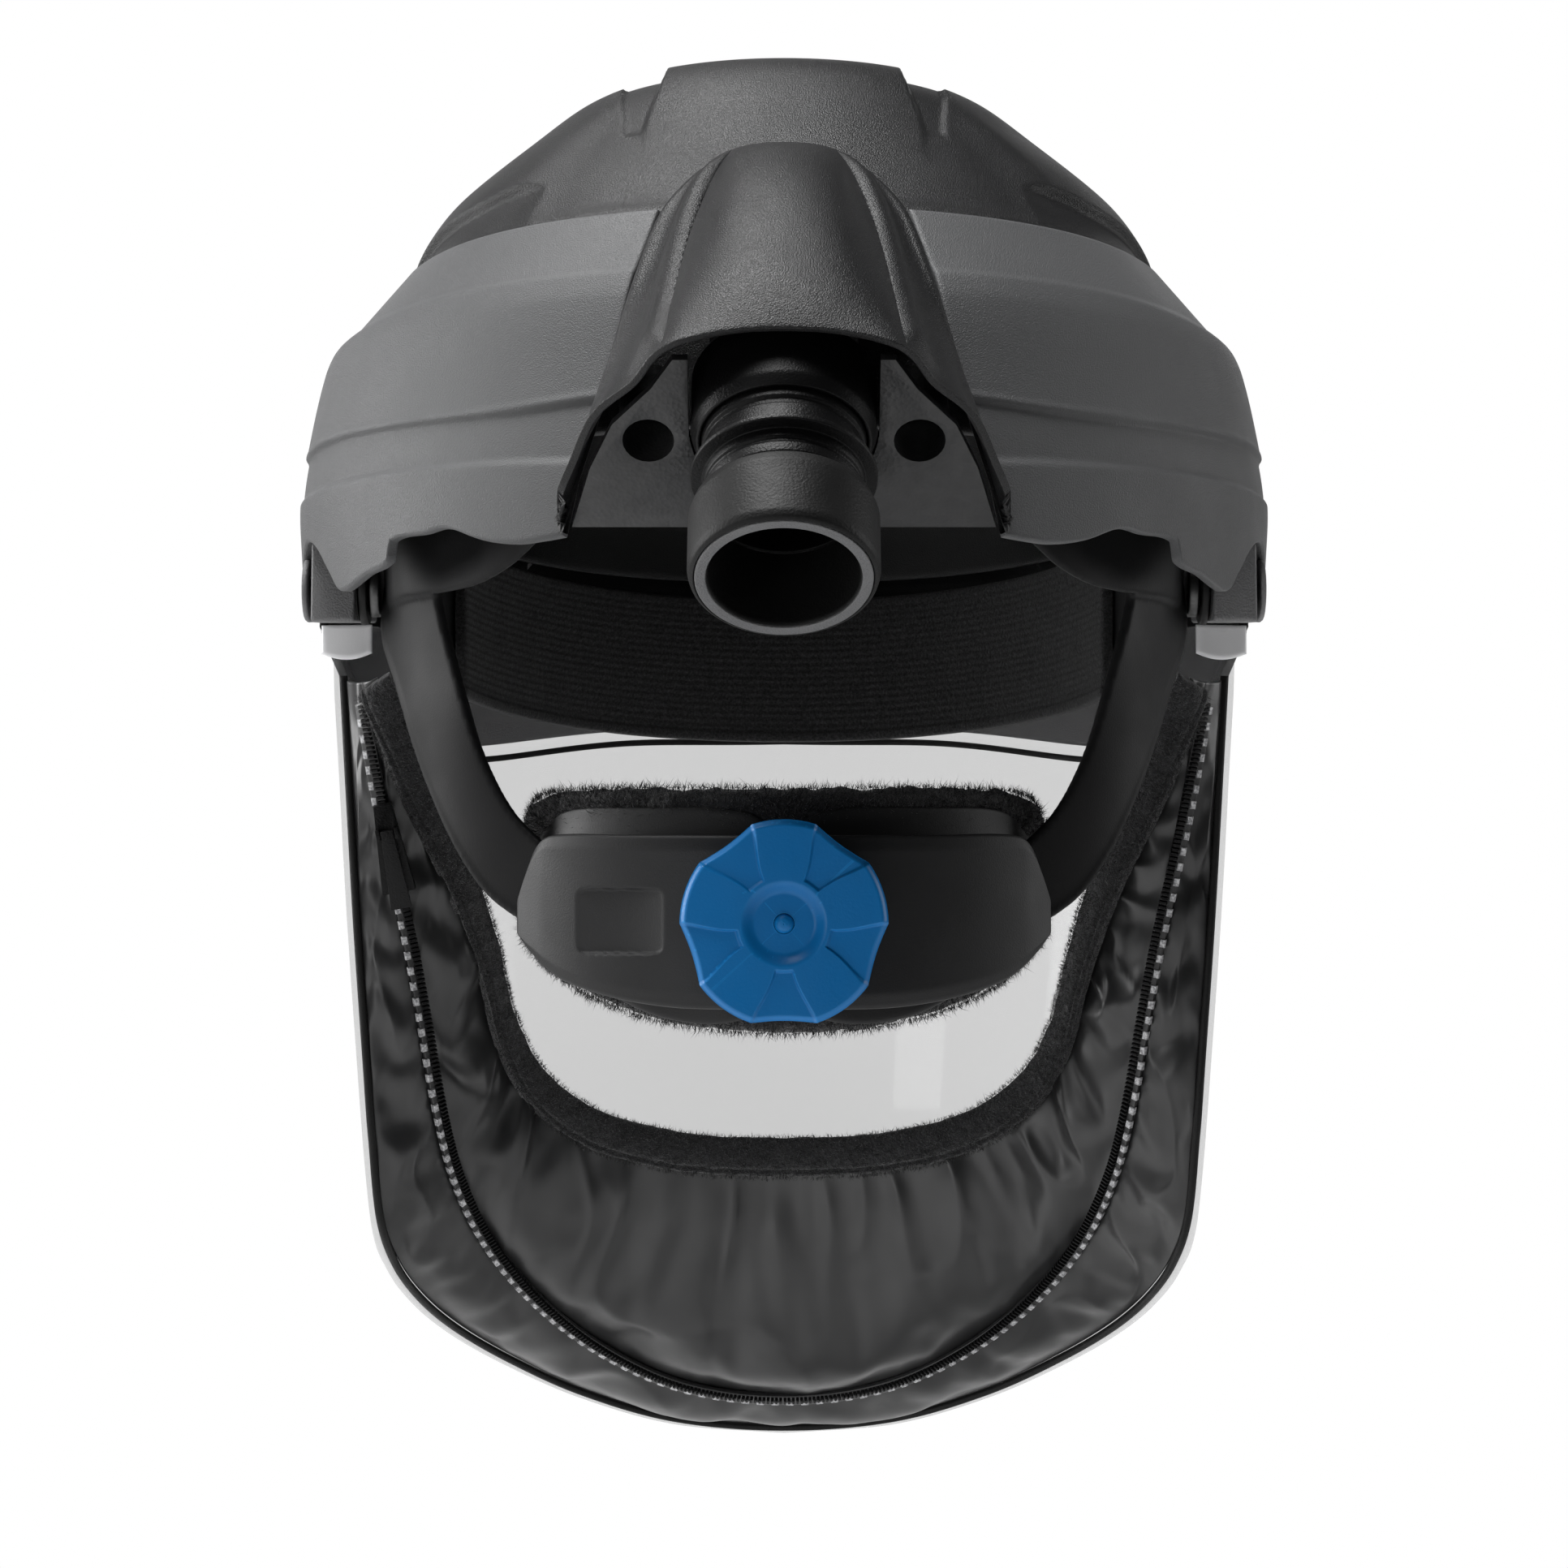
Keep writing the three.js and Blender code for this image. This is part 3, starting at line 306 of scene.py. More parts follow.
class Curve:
    """A smooth curve through points; at(u) goes by length and by_number(t) by the points' numbering."""

    def __init__(self, points, count=1200):
        self.samples = spline_samples(points, count)
        steps = np.linalg.norm(np.diff(self.samples, axis=0), axis=1)
        self.travel = np.concatenate([[0], np.cumsum(steps)])
        self.length = self.travel[-1]

    def _pick(self, x, grid):
        return np.stack([np.interp(x, grid, self.samples[:, k]) for k in range(3)], -1)

    def at(self, u):
        return self._pick(np.asarray(u) * self.length, self.travel)

    def by_number(self, t):
        return self._pick(np.asarray(t), np.linspace(0, 1, len(self.samples)))

    def tangent(self, u, step=0.004):
        return unit(self.at(np.minimum(u + step, 1)) - self.at(np.maximum(u - step, 0)))


def value_noise(points, pitch, seed):
    """Smooth noise from -1 to 1 at points in space; pitch is the size of one lump."""
    table = np.random.default_rng(seed).uniform(-1, 1, 4096)
    q = np.asarray(points) / pitch
    base = np.floor(q).astype(int)
    f = q - base
    f = f * f * (3 - 2 * f)
    total = 0
    for corner in np.ndindex(2, 2, 2):
        c = np.array(corner)
        weight = np.prod(np.where(c == 1, f, 1 - f), axis=-1)
        h = (base + c) @ np.array([73856093, 19349663, 83492791])
        total = total + weight * table[h & 4095]
    return total


# ------------------------------------------------------------------ mesh helpers


def placed(name, data):
    """A new object in the scene that holds the data."""
    obj = bpy.data.objects.new(name, data)
    bpy.context.scene.collection.objects.link(obj)
    return obj


def shade(mesh, smoothly=True):
    mesh.polygons.foreach_set("use_smooth", np.full(len(mesh.polygons), smoothly))


def released(work, name):
    """A new object from a working mesh, which is freed."""
    mesh = bpy.data.meshes.new(name)
    work.to_mesh(mesh)
    work.free()
    return placed(name, mesh)


def mesh_object(name, points, faces, uv=None, smooth_shading=True):
    """A new object from millimetre points; uv is one pair per point, in millimetres."""
    mesh = bpy.data.meshes.new(name)
    mesh.from_pydata((np.asarray(points, float) * MM).tolist(), [], [list(map(int, f)) for f in faces])
    if uv is not None:
        layer = mesh.uv_layers.new(name="flat")
        index = np.empty(len(mesh.loops), int)
        mesh.loops.foreach_get("vertex_index", index)
        layer.data.foreach_set("uv", (np.asarray(uv, float) * MM)[index].ravel())
    shade(mesh, smooth_shading)
    mesh.validate()
    mesh.update()
    return placed(name, mesh)


def grid_faces(rows, columns, start=0, flip=False):
    i, j = np.meshgrid(np.arange(rows - 1), np.arange(columns - 1), indexing="ij")
    a = (start + i * columns + j).ravel()
    quads = np.stack([a, a + columns, a + columns + 1, a + 1], -1)
    return quads[:, ::-1] if flip else quads


def ticks(count, length, edge):
    """Steps from 0 to 1 with extra ones near both ends, where the edge is rounded."""
    fine = np.array([0, 0.1, 0.35, 1]) * edge / length
    middle = np.linspace(0, 1, count + 1)
    middle = middle[(middle > 1.4 * fine[-1]) & (middle < 1 - 1.4 * fine[-1])]
    return np.concatenate([fine, middle, 1 - fine[::-1]])


def surface_normals(surface, u, v, step=1e-3):
    along_u = surface(np.minimum(u + step, 1), v) - surface(np.maximum(u - step, 0), v)
    along_v = surface(u, np.minimum(v + step, 1)) - surface(u, np.maximum(v - step, 0))
    return unit(np.cross(along_u, along_v))


def plate(name, surface, wall, across, along, edge=0.6):
    """A closed plate with its outer face on surface(u, v), its wall behind it and rounded edges."""
    half = np.full(41, 0.5)
    run = np.linspace(0, 1, 41)
    length_u = np.linalg.norm(np.diff(surface(run, half), axis=0), axis=1).sum()
    length_v = np.linalg.norm(np.diff(surface(half, run), axis=0), axis=1).sum()
    us, vs = ticks(across, length_u, edge), ticks(along, length_v, edge)
    u, v = np.meshgrid(us, vs, indexing="ij")
    place = surface(u, v)
    normal = surface_normals(surface, u, v)
    inside = np.minimum(np.minimum(u, 1 - u) * length_u, np.minimum(v, 1 - v) * length_v)
    drop = edge - np.sqrt(np.maximum(edge ** 2 - np.maximum(edge - inside, 0) ** 2, 0))
    outer = place - normal * drop[..., None]
    inner = place + normal * (drop - wall)[..., None]
    rows, columns = u.shape
    count = rows * columns
    number = np.arange(count).reshape(rows, columns)
    faces = [grid_faces(rows, columns), grid_faces(rows, columns, count, flip=True)]
    for line in (number[:, 0], number[-1, :], number[::-1, -1], number[0, ::-1]):
        faces.append(np.stack([line[:-1], line[:-1] + count, line[1:] + count, line[1:]], -1))
    flat = np.stack([u * length_u, v * length_v], -1).reshape(-1, 2)
    points = np.vstack([outer.reshape(-1, 3), inner.reshape(-1, 3)])
    return mesh_object(name, points, np.vstack(faces), np.vstack([flat, flat]))


def loft(name, rings):
    """A closed body through rings of points, with flat ends."""
    rings = np.asarray(rings, float)
    count, size = rings.shape[:2]
    number = np.arange(count * size).reshape(count, size)
    nxt = np.roll(number, -1, axis=1)
    sides = np.stack([number[:-1], nxt[:-1], nxt[1:], number[1:]], -1).reshape(-1, 4)
    return mesh_object(name, rings.reshape(-1, 3), [*sides, number[0][::-1], number[-1]])


def filleted(outline, radius, steps=4):
    """A closed outline of 2-D points with each corner rounded."""
    points = [np.array(p, float) for p in outline]
    out = []
    for i, corner in enumerate(points):
        a, b = points[i - 1] - corner, points[(i + 1) % len(points)] - corner
        reach = min(radius, 0.45 * np.linalg.norm(a), 0.45 * np.linalg.norm(b))
        start, end = corner + unit(a) * reach, corner + unit(b) * reach
        for t in np.linspace(0, 1, steps + 1):
            out.append((1 - t) ** 2 * start + 2 * t * (1 - t) * corner + t * t * end)
    return np.array(out)


def tube_mesh(name, rings):
    """A closed ring-shaped body from rows of points that join up in both directions."""
    count, size = rings.shape[:2]
    number = np.arange(count * size).reshape(count, size)
    down, right = np.roll(number, -1, axis=0), np.roll(number, -1, axis=1)
    faces = np.stack([number, down, np.roll(down, -1, axis=1), right], -1).reshape(-1, 4)
    return mesh_object(name, rings.reshape(-1, 3), faces)


def lathe(name, outline, place, segments=128):
    """A ring turned about Z from a closed [radius, height] outline, then placed by a matrix."""
    outline = np.asarray(outline, float)
    angle = np.linspace(0, 2 * math.pi, segments, endpoint=False)
    rings = stacked(np.cos(angle)[:, None] * outline[:, 0], np.sin(angle)[:, None] * outline[:, 0],
                    outline[:, 1][None, :])
    return facing_out(tube_mesh(name, rings @ np.array(place.to_3x3()).T + np.array(place.translation)))


def facing_out(obj):
    work = bmesh.new()
    work.from_mesh(obj.data)
    bmesh.ops.recalc_face_normals(work, faces=work.faces)
    work.to_mesh(obj.data)
    work.free()
    return obj


def modified(obj, *modifiers):
    """Adds modifiers given as (type, settings) and applies them."""
    for kind, settings in modifiers:
        modifier = obj.modifiers.new(kind.lower(), kind)
        for key, value in settings.items():
            setattr(modifier, key, value)
    bpy.context.view_layer.update()
    shaped = obj.evaluated_get(bpy.context.evaluated_depsgraph_get())
    mesh = bpy.data.meshes.new_from_object(shaped)
    obj.modifiers.clear()
    obj.data = mesh
    shade(mesh)
    return obj


def joined(name, objects):
    """One object from several."""
    work = bmesh.new()
    for obj in objects:
        work.from_mesh(obj.data)
        bpy.data.objects.remove(obj)
    obj = released(work, name)
    shade(obj.data)
    return obj


def rounded(node, width, body, look, slot, segments=2):
    """Finishes a copy of a CAD node with its hard edges rounded."""
    work = bmesh.new()
    work.from_mesh(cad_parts[node].data)
    bmesh.ops.remove_doubles(work, verts=work.verts, dist=1e-6)
    bmesh.ops.dissolve_limit(work, angle_limit=1 * RAD, verts=work.verts, edges=work.edges)
    obj = released(work, node + "_finished")
    modified(obj, ("BEVEL", {"width": width * MM, "segments": segments, "limit_method": "ANGLE",
                             "angle_limit": 30 * RAD, "harden_normals": False}))
    obj.data.set_sharp_from_angle(angle=50 * RAD)
    finish(obj, body, look, slot, node)


def mirror_pair(left):
    """A left-hand piece and its mirror image across the middle plane, each with its side."""
    right = left.copy()
    right.data = left.data.copy()
    right.name = right.data.name = left.name.replace("left", "right")
    bpy.context.scene.collection.objects.link(right)
    right.data.transform(Matrix.Diagonal((-1, 1, 1, 1)))
    right.data.flip_normals()
    return (left, "left"), (right, "right")


def paint(obj, look):
    obj.data.materials.clear()
    obj.data.materials.append(LOOK[look])


def finish(obj, body, look, slot, *nodes):
    """Gives a piece its material and body, and hides the CAD nodes that it stands for. The slot is not used.
    """
    paint(obj, look)
    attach(obj, body)
    if nodes:
        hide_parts(*nodes)


def blades(name, roots, directions, length, width, droop=0.25):
    """Short bent fibres, each a thin quad and a pointed tip, on root points."""
    count = len(roots)
    directions = unit(directions + RNG.normal(0, 0.45, (count, 3)))
    side = unit(np.cross(directions, RNG.normal(0, 1, (count, 3)))) * (width / 2)
    size = length * RNG.uniform(0.45, 1.1, (count, 1))
    sag = RNG.normal(0, droop, (count, 3)) * size
    middle = roots + directions * size * 0.55
    tip = roots + directions * size + sag
    points = np.stack([roots - side, roots + side, middle + side * 0.7, middle - side * 0.7, tip], 1)
    base = np.arange(count)[:, None] * 5
    quads = (base + np.array([0, 1, 2, 3])).tolist()
    tips = (base + np.array([3, 2, 4])).tolist()
    return mesh_object(name, points.reshape(-1, 3), quads + tips)


# ------------------------------------------------------------------ materials


class Nodes:
    """A short way to build one node material."""

    def __init__(self, name, base, roughness, metallic=0.0, **sockets):
        self.material = bpy.data.materials.new(name)
        self.material.use_nodes = True
        self.tree = self.material.node_tree
        self.shader = self.tree.nodes["Principled BSDF"]
        self.shader.inputs["Base Color"].default_value = (*base, 1)
        self.shader.inputs["Roughness"].default_value = roughness
        self.shader.inputs["Metallic"].default_value = metallic
        for key, value in sockets.items():
            self.shader.inputs[key.replace("_", " ")].default_value = value
        self.coordinates = self.tree.nodes.new("ShaderNodeTexCoord")
        self.height = None

    def add(self, kind, **settings):
        node = self.tree.nodes.new("ShaderNode" + kind)
        for key, value in settings.items():
            setattr(node, key, value)
        return node

    def link(self, a, b):
        self.tree.links.new(a, b)

    def noise(self, scale, detail=2.0, roughness=0.5, stretch=None):
        node = self.add("TexNoise")
        node.inputs["Scale"].default_value = scale
        node.inputs["Detail"].default_value = detail
        node.inputs["Roughness"].default_value = roughness
        self.link(self.stretched(stretch), node.inputs["Vector"])
        return node.outputs["Fac"]

    def stretched(self, stretch):
        """The object's own coordinates, scaled along its axes if a stretch is given."""
        out = self.coordinates.outputs["Object"]
        if stretch is None:
            return out
        mapping = self.add("Mapping")
        mapping.inputs["Scale"].default_value = stretch
        self.link(out, mapping.inputs["Vector"])
        return mapping.outputs["Vector"]

    def wave(self, scale, direction):
        """Even threads across the piece's flat coordinates."""
        node = self.add("TexWave", bands_direction=direction)
        node.inputs["Scale"].default_value = scale
        self.link(self.coordinates.outputs["UV"], node.inputs["Vector"])
        return node.outputs["Fac"]

    def voronoi(self, scale):
        node = self.add("TexVoronoi")
        node.inputs["Scale"].default_value = scale
        self.link(self.coordinates.outputs["Object"], node.inputs["Vector"])
        return node.outputs["Distance"]

    def ramp(self, value, low, high, start, end):
        node = self.add("MapRange")
        self.link(value, node.inputs["Value"])
        for key, number in (("From Min", low), ("From Max", high), ("To Min", start), ("To Max", end)):
            node.inputs[key].default_value = number
        return node.outputs["Result"]

    def tint(self, value, dark, light):
        """Base colour between two colours by a value from 0 to 1."""
        node = self.add("Mix", data_type="RGBA")
        node.inputs["A"].default_value = (*dark, 1)
        node.inputs["B"].default_value = (*light, 1)
        self.link(value, node.inputs["Factor"])
        self.link(node.outputs["Result"], self.shader.inputs["Base Color"])

    def rough(self, value, low, high):
        self.link(self.ramp(value, 0.3, 0.7, low, high), self.shader.inputs["Roughness"])

    def bump(self, value, distance):
        """Adds a bump of so many millimetres on top of the ones before it."""
        node = self.add("Bump")
        node.inputs["Strength"].default_value = 1.0
        node.inputs["Distance"].default_value = distance * MM
        self.link(value, node.inputs["Height"])
        if self.height is not None:
            self.link(self.height, node.inputs["Normal"])
        self.height = node.outputs["Normal"]
        self.link(self.height, self.shader.inputs["Normal"])

    def edge_highlight(self, colour_low, colour_high):
        """Painted highlight: colour that grows a little lighter, in patches, along convex edges."""
        geometry = self.add("NewGeometry")
        # painted highlight: lighter colour where the surface is convex, along its edges
        highlighted_edge = self.ramp(geometry.outputs["Pointiness"], 0.5, 0.56, 0, 1)
        patch = self.ramp(self.noise(60, 3), 0.4, 0.7, 0.2, 1)
        both = self.add("Math", operation="MULTIPLY")
        self.link(highlighted_edge, both.inputs[0])
        self.link(patch, both.inputs[1])
        self.tint(both.outputs["Value"], colour_low, colour_high)


def scaled(colour, factor):
    return tuple(min(c * factor, 1) for c in colour)


def plastic(name, base, roughness, grain=0.05, pitch=0.55, highlight_gain=1.5, **sockets):
    """Moulded plastic: fine grain, slight mottling and a painted highlight along its edges."""
    nodes = Nodes(name, base, roughness, **sockets)
    # painted highlight along the piece's convex edges
    nodes.edge_highlight(base, scaled(base, highlight_gain))
    speckle = nodes.noise(1000 / pitch, 1.5, 0.6)
    nodes.rough(nodes.noise(45, 3), roughness - 0.05, roughness + 0.06)
    nodes.bump(speckle, grain)
    return nodes.material


def leather_grained(name, base, roughness):
    """Moulded plastic with a coarse pebbled grain."""
    nodes = Nodes(name, base, roughness)
    # painted highlight along the piece's convex edges
    nodes.edge_highlight(base, scaled(base, 1.6))
    nodes.rough(nodes.noise(300, 2), roughness - 0.06, roughness + 0.08)
    nodes.bump(nodes.voronoi(900), 0.09)
    nodes.bump(nodes.noise(1800, 2), 0.04)
    return nodes.material


def metal(name, base, roughness):
    nodes = Nodes(name, base, roughness, metallic=1.0)
    nodes.rough(nodes.noise(500, 2, stretch=(1, 1, 8)), roughness - 0.08, roughness + 0.12)
    nodes.bump(nodes.noise(2500, 2, stretch=(1, 1, 6)), 0.01)
    return nodes.material


def rubber(name, base):
    nodes = Nodes(name, base, 0.5, Specular_IOR_Level=0.2)
    # painted highlight along the piece's convex edges
    nodes.edge_highlight(base, scaled(base, 1.5))
    nodes.rough(nodes.noise(70, 4), 0.46, 0.58)
    nodes.bump(nodes.noise(1600, 2), 0.12)
    return nodes.material


def nylon():
    """Coated taffeta: fine plain weave with a soft gloss."""
    nodes = Nodes("coated_nylon", (0.011, 0.011, 0.0115), 0.4, Sheen_Weight=0.05, Sheen_Roughness=0.4,
                  Specular_IOR_Level=0.6)
    patches = nodes.ramp(nodes.noise(28, 3), 0.35, 0.65, 0, 1)
    nodes.tint(patches, (0.009, 0.009, 0.0095), (0.014, 0.014, 0.0145))
    nodes.rough(nodes.noise(120, 3), 0.34, 0.44)
    nodes.bump(nodes.wave(700, "X"), 0.015)
    nodes.bump(nodes.wave(700, "Y"), 0.015)
    nodes.bump(nodes.noise(110, 3), 0.07)
    return nodes.material


def fleece():
    nodes = Nodes("fleece", (0.012, 0.012, 0.013), 0.95, Sheen_Weight=0.35, Sheen_Roughness=0.5,
                  Specular_IOR_Level=0.2)
    tuft = nodes.noise(900, 4, 0.75)
    nodes.tint(nodes.ramp(tuft, 0.4, 0.68, 0, 1), (0.006, 0.006, 0.0065), (0.032, 0.032, 0.034))
    nodes.bump(nodes.noise(500, 4, 0.7), 0.8)
    nodes.bump(tuft, 0.5)
    return nodes.material


def knit():
    """Ribbed knit: small stitches and loose fibres; its rows are in the mesh."""
    nodes = Nodes("ribbed_knit", (0.012, 0.012, 0.013), 0.95, Sheen_Weight=0.12, Sheen_Roughness=0.6,
                  Specular_IOR_Level=0.15)
    fibre = nodes.noise(1500, 4, 0.75)
    nodes.tint(nodes.ramp(fibre, 0.4, 0.66, 0, 1), (0.004, 0.004, 0.0042), (0.03, 0.03, 0.031))
    nodes.bump(nodes.noise(700, 3, 0.7), 0.5)
    nodes.bump(fibre, 0.3)
    return nodes.material


def clear_lens():
    nodes = Nodes("clear_lens", (0.3, 0.3, 0.305), 0.06, Alpha=0.24, IOR=1.45)
    nodes.rough(nodes.noise(30, 3), 0.04, 0.09)
    nodes.bump(nodes.noise(14, 2), 0.05)
    return nodes.material


def blue_plastic():
    base = (0.0, 0.14, 0.4)
    nodes = Nodes("blue_plastic", base, 0.42, Specular_IOR_Level=0.3)
    # painted highlight along the piece's convex edges, towards a paler blue
    nodes.edge_highlight(base, (0.008, 0.22, 0.56))
    nodes.rough(nodes.noise(60, 3), 0.36, 0.46)
    nodes.bump(nodes.noise(1700, 2, 0.6), 0.035)
    return nodes.material


def reflective_tape():
    nodes = Nodes("silver_weave", (0.42, 0.42, 0.43), 0.5, metallic=0.3)
    nodes.tint(nodes.ramp(nodes.noise(1500, 2), 0.35, 0.65, 0, 1), (0.2, 0.2, 0.21), (0.6, 0.6, 0.61))
    nodes.bump(nodes.noise(1300, 1), 0.15)
    return nodes.material


LOOK = {
    "shell": plastic("charcoal_plastic", (0.012, 0.012, 0.0125), 0.38, grain=0.24, pitch=0.35,
                     Specular_IOR_Level=0.3),
    "panel": plastic("grey_plastic", (0.082, 0.083, 0.085), 0.44, grain=0.22, pitch=0.35, highlight_gain=1.4,
                     Specular_IOR_Level=0.3),
    "black": plastic("black_plastic", (0.003, 0.003, 0.0032), 0.42, grain=0.12, Specular_IOR_Level=0.16),
    "ear": plastic("visor_plastic", (0.12, 0.12, 0.122), 0.5, grain=0.3, Specular_IOR_Level=0.4),
    "leather": leather_grained("pebbled_plastic", (0.014, 0.014, 0.0145), 0.45),
    "inner": plastic("inner_plastic", (0.004, 0.004, 0.004), 0.5, grain=0.03, Specular_IOR_Level=0.25),
    "harness": plastic("harness_plastic", (0.012, 0.012, 0.0125), 0.5, pitch=0.4, Specular_IOR_Level=0.3),
    "arm": plastic("arm_plastic", (0.008, 0.008, 0.0084), 0.55, pitch=0.4, Specular_IOR_Level=0.16),
    "clip": plastic("clip_plastic", (0.6, 0.6, 0.61), 0.3, grain=0.02),
    "steel": metal("zinc_steel", (0.62, 0.62, 0.63), 0.3),
    "pin": metal("blackened_steel", (0.1, 0.1, 0.1), 0.4),
    "rubber": rubber("soft_rubber", (0.006, 0.006, 0.006)),
    "nylon": nylon(),
    "fleece": fleece(),
    "knit": knit(),
    "lens": clear_lens(),
    "blue": blue_plastic(),
    "silver": reflective_tape(),
}

# ------------------------------------------------------------------ camera, light and floor


def look_at(obj, place, target):
    obj.location = place
    obj.rotation_euler = (Vector(target) - Vector(place)).to_track_quat("-Z", "Y").to_euler()


def make_camera():
    data = bpy.data.cameras.new("camera")
    data.lens = CAMERA_LENS
    data.sensor_width = CAMERA_SENSOR
    camera = placed("camera", data)
    look_at(camera, CAMERA_PLACE, CAMERA_TARGET)
    bpy.context.scene.camera = camera


def area_light(name, place, target, size, power):
    data = bpy.data.lights.new(name, "AREA")
    data.shape = "RECTANGLE"
    data.size, data.size_y = size
    data.energy = power
    look_at(placed(name, data), place, target)


def make_world():
    """White where the camera sees it, and dimmer as a light."""
    world = bpy.data.worlds.new("studio")
    world.use_nodes = True
    tree = world.node_tree
    seen = tree.nodes["Background"]
    seen.inputs["Color"].default_value = (1, 1, 1, 1)
    seen.inputs["Strength"].default_value = 1.0
    lit = tree.nodes.new("ShaderNodeBackground")
    lit.inputs["Color"].default_value = (1, 1, 1, 1)
    lit.inputs["Strength"].default_value = WORLD_LIGHT
    path = tree.nodes.new("ShaderNodeLightPath")
    choice = tree.nodes.new("ShaderNodeMixShader")
    tree.links.new(path.outputs["Is Camera Ray"], choice.inputs["Fac"])
    tree.links.new(lit.outputs["Background"], choice.inputs[1])
    tree.links.new(seen.outputs["Background"], choice.inputs[2])
    tree.links.new(choice.outputs["Shader"], tree.nodes["World Output"].inputs["Surface"])
    bpy.context.scene.world = world


def make_floor():
    angle = np.linspace(0, 2 * math.pi, 96, endpoint=False)
    x, y = FLOOR_RADIUS * np.cos(angle), FLOOR_RADIUS * np.sin(angle)
    floor = facing_out(loft("floor", [stacked(x, y, z) for z in (FLOOR_TOP, FLOOR_FOOT)]))
    shade(floor.data, False)
    nodes = Nodes("pale_floor", (0.8, 0.8, 0.8), 0.7)
    nodes.rough(nodes.noise(20, 3), 0.65, 0.8)
    nodes.bump(nodes.noise(400, 2), 0.02)
    floor.data.materials.append(nodes.material)


make_camera()
make_world()
make_floor()
for softbox in SOFTBOXES:
    area_light(*softbox)
bpy.context.scene.view_settings.view_transform = "Standard"

# ------------------------------------------------------------------ crown shell

crown_level = through([[i, *row] for i, row in enumerate(CROWN_LEVELS)])
crown_crease = through(CROWN_CREASE)
# share of the way from the top to the rim, and level: more mesh rows where the shape turns
crown_rows = through([[0, 0], [0.12, 1], [0.35, 3], [0.5, 5], [0.85, 8], [1, 10]])


def crown_base(turn, level, offset=0.0):
    """A point of the plain crown; turn is 0 straight back and level counts the rows of CROWN_LEVELS."""
    ahead = np.cos(turn) < 0
    reach = np.where(ahead, crown_level(level, 4), crown_level(level, 3)) + offset
    power = np.where(ahead, 2 / CROWN_FRONT_POWER, 1)
    across = np.sign(np.sin(turn)) * np.abs(np.sin(turn)) ** power
    along = np.sign(np.cos(turn)) * np.abs(np.cos(turn)) ** power
    return stacked((crown_level(level, 2) + offset) * across, reach * along, crown_level(level, 1))


def crown_point(turn, level):
    """The crown's outer face with its crest, the grooves beside it and the undercut above the panels."""
    plain = crown_base(turn, level)
    x, z = np.abs(plain[..., 0]), plain[..., 2]
    angle = np.degrees(np.abs(turn))
    crease = crown_crease(angle)
    side = smooth(crease + 0.6, crease - 3.4, z) * smooth(32, 50, angle)
    rear = 0.75 * smooth(CREASE_TURN + 5, CREASE_TURN - 8, angle) * smooth(131, 112, z)
    point = crown_base(turn, level, -UNDERCUT * np.maximum(side, rear))
    edge = mix(36.5, 30.8, smooth(110, 134, z))
    crest = (1 - smooth(edge - 0.6, edge + 0.9, x)) * (1 - smooth(3.2, 5.2, level)) * CREST_HEIGHT
    groove = smooth(edge, edge + 1.0, x) * (1 - smooth(GROOVE_OUTER, GROOVE_OUTER + 1.0, x))
    groove = groove * smooth(110.5, 112.3, z) * GROOVE_DEPTH
    point[..., 2] += crest - groove
    return point


def disc_coordinates(u, v):
    """The angle and radius in a disc of a point of the unit square."""
    a, b = 2 * u - 1, 2 * v - 1
    radius = np.maximum(np.abs(a), np.abs(b))
    safe_a, safe_b = np.where(a == 0, 1e-9, a), np.where(b == 0, 1e-9, b)
    wide = np.abs(a) > np.abs(b)
    across = np.where(a > 0, 0, math.pi) + math.pi / 4 * (b / safe_a)
    along = np.where(b > 0, math.pi / 2, -math.pi / 2) - math.pi / 4 * (a / safe_b)
    return np.where(wide, across, along), radius


@on_grid
def crown_surface(u, v):
    angle, radius = disc_coordinates(u, v)
    turn = math.pi / 2 - angle
    turn = (turn + math.pi) % (2 * math.pi) - math.pi
    return crown_point(turn, crown_rows(radius))


def box_tool(name, low, high):
    work = bmesh.new()
    size = [b - a for a, b in zip(low, high)]
    middle = [(a + b) / 2 for a, b in zip(low, high)]
    place = Matrix.Translation(Vector(middle) * MM) @ Matrix.Diagonal((*[s * MM for s in size], 1))
    bmesh.ops.create_cube(work, size=1, matrix=place)
    return released(work, name)


def carved(obj, *tools):
    """The object with closed tool meshes cut away from it."""
    cuts = [("BOOLEAN", {"operation": "DIFFERENCE", "object": tool, "solver": "EXACT"}) for tool in tools]
    modified(obj, *cuts)
    for tool in tools:
        bpy.data.objects.remove(tool)
    obj.data.set_sharp_from_angle(angle=50 * RAD)
    return obj


def make_crown():
    shell = plate("crown_shell_finished", crown_surface, CROWN_WALL, 280, 280, edge=0.9)
    inlet = box_tool("inlet_tool", (-18, 70, 47), (18, 130, 81))
    outlet = box_tool("outlet_tool", (-26, -150, 38), (26, -110, 50))
    carved(shell, inlet, outlet)
    finish(shell, "root", "shell", "shell", "crown_shell")


# ------------------------------------------------------------------ grey side panels

panel_level = through(PANEL_LEVELS)
panel_lower_edge = through(PANEL_LOWER_EDGE)
panel_rear_edge = through(PANEL_REAR_EDGE)
panel_upper_crease = through(PANEL_UPPER_CREASE)
panel_middle_crease = through(PANEL_MIDDLE_CREASE)
panel_lower_crease = through(PANEL_LOWER_CREASE)


def panel_front_edge(z):
    return mix(PANEL_FRONT_BOTTOM, PANEL_FRONT_TOP, smooth(20, PANEL_TOP, z))


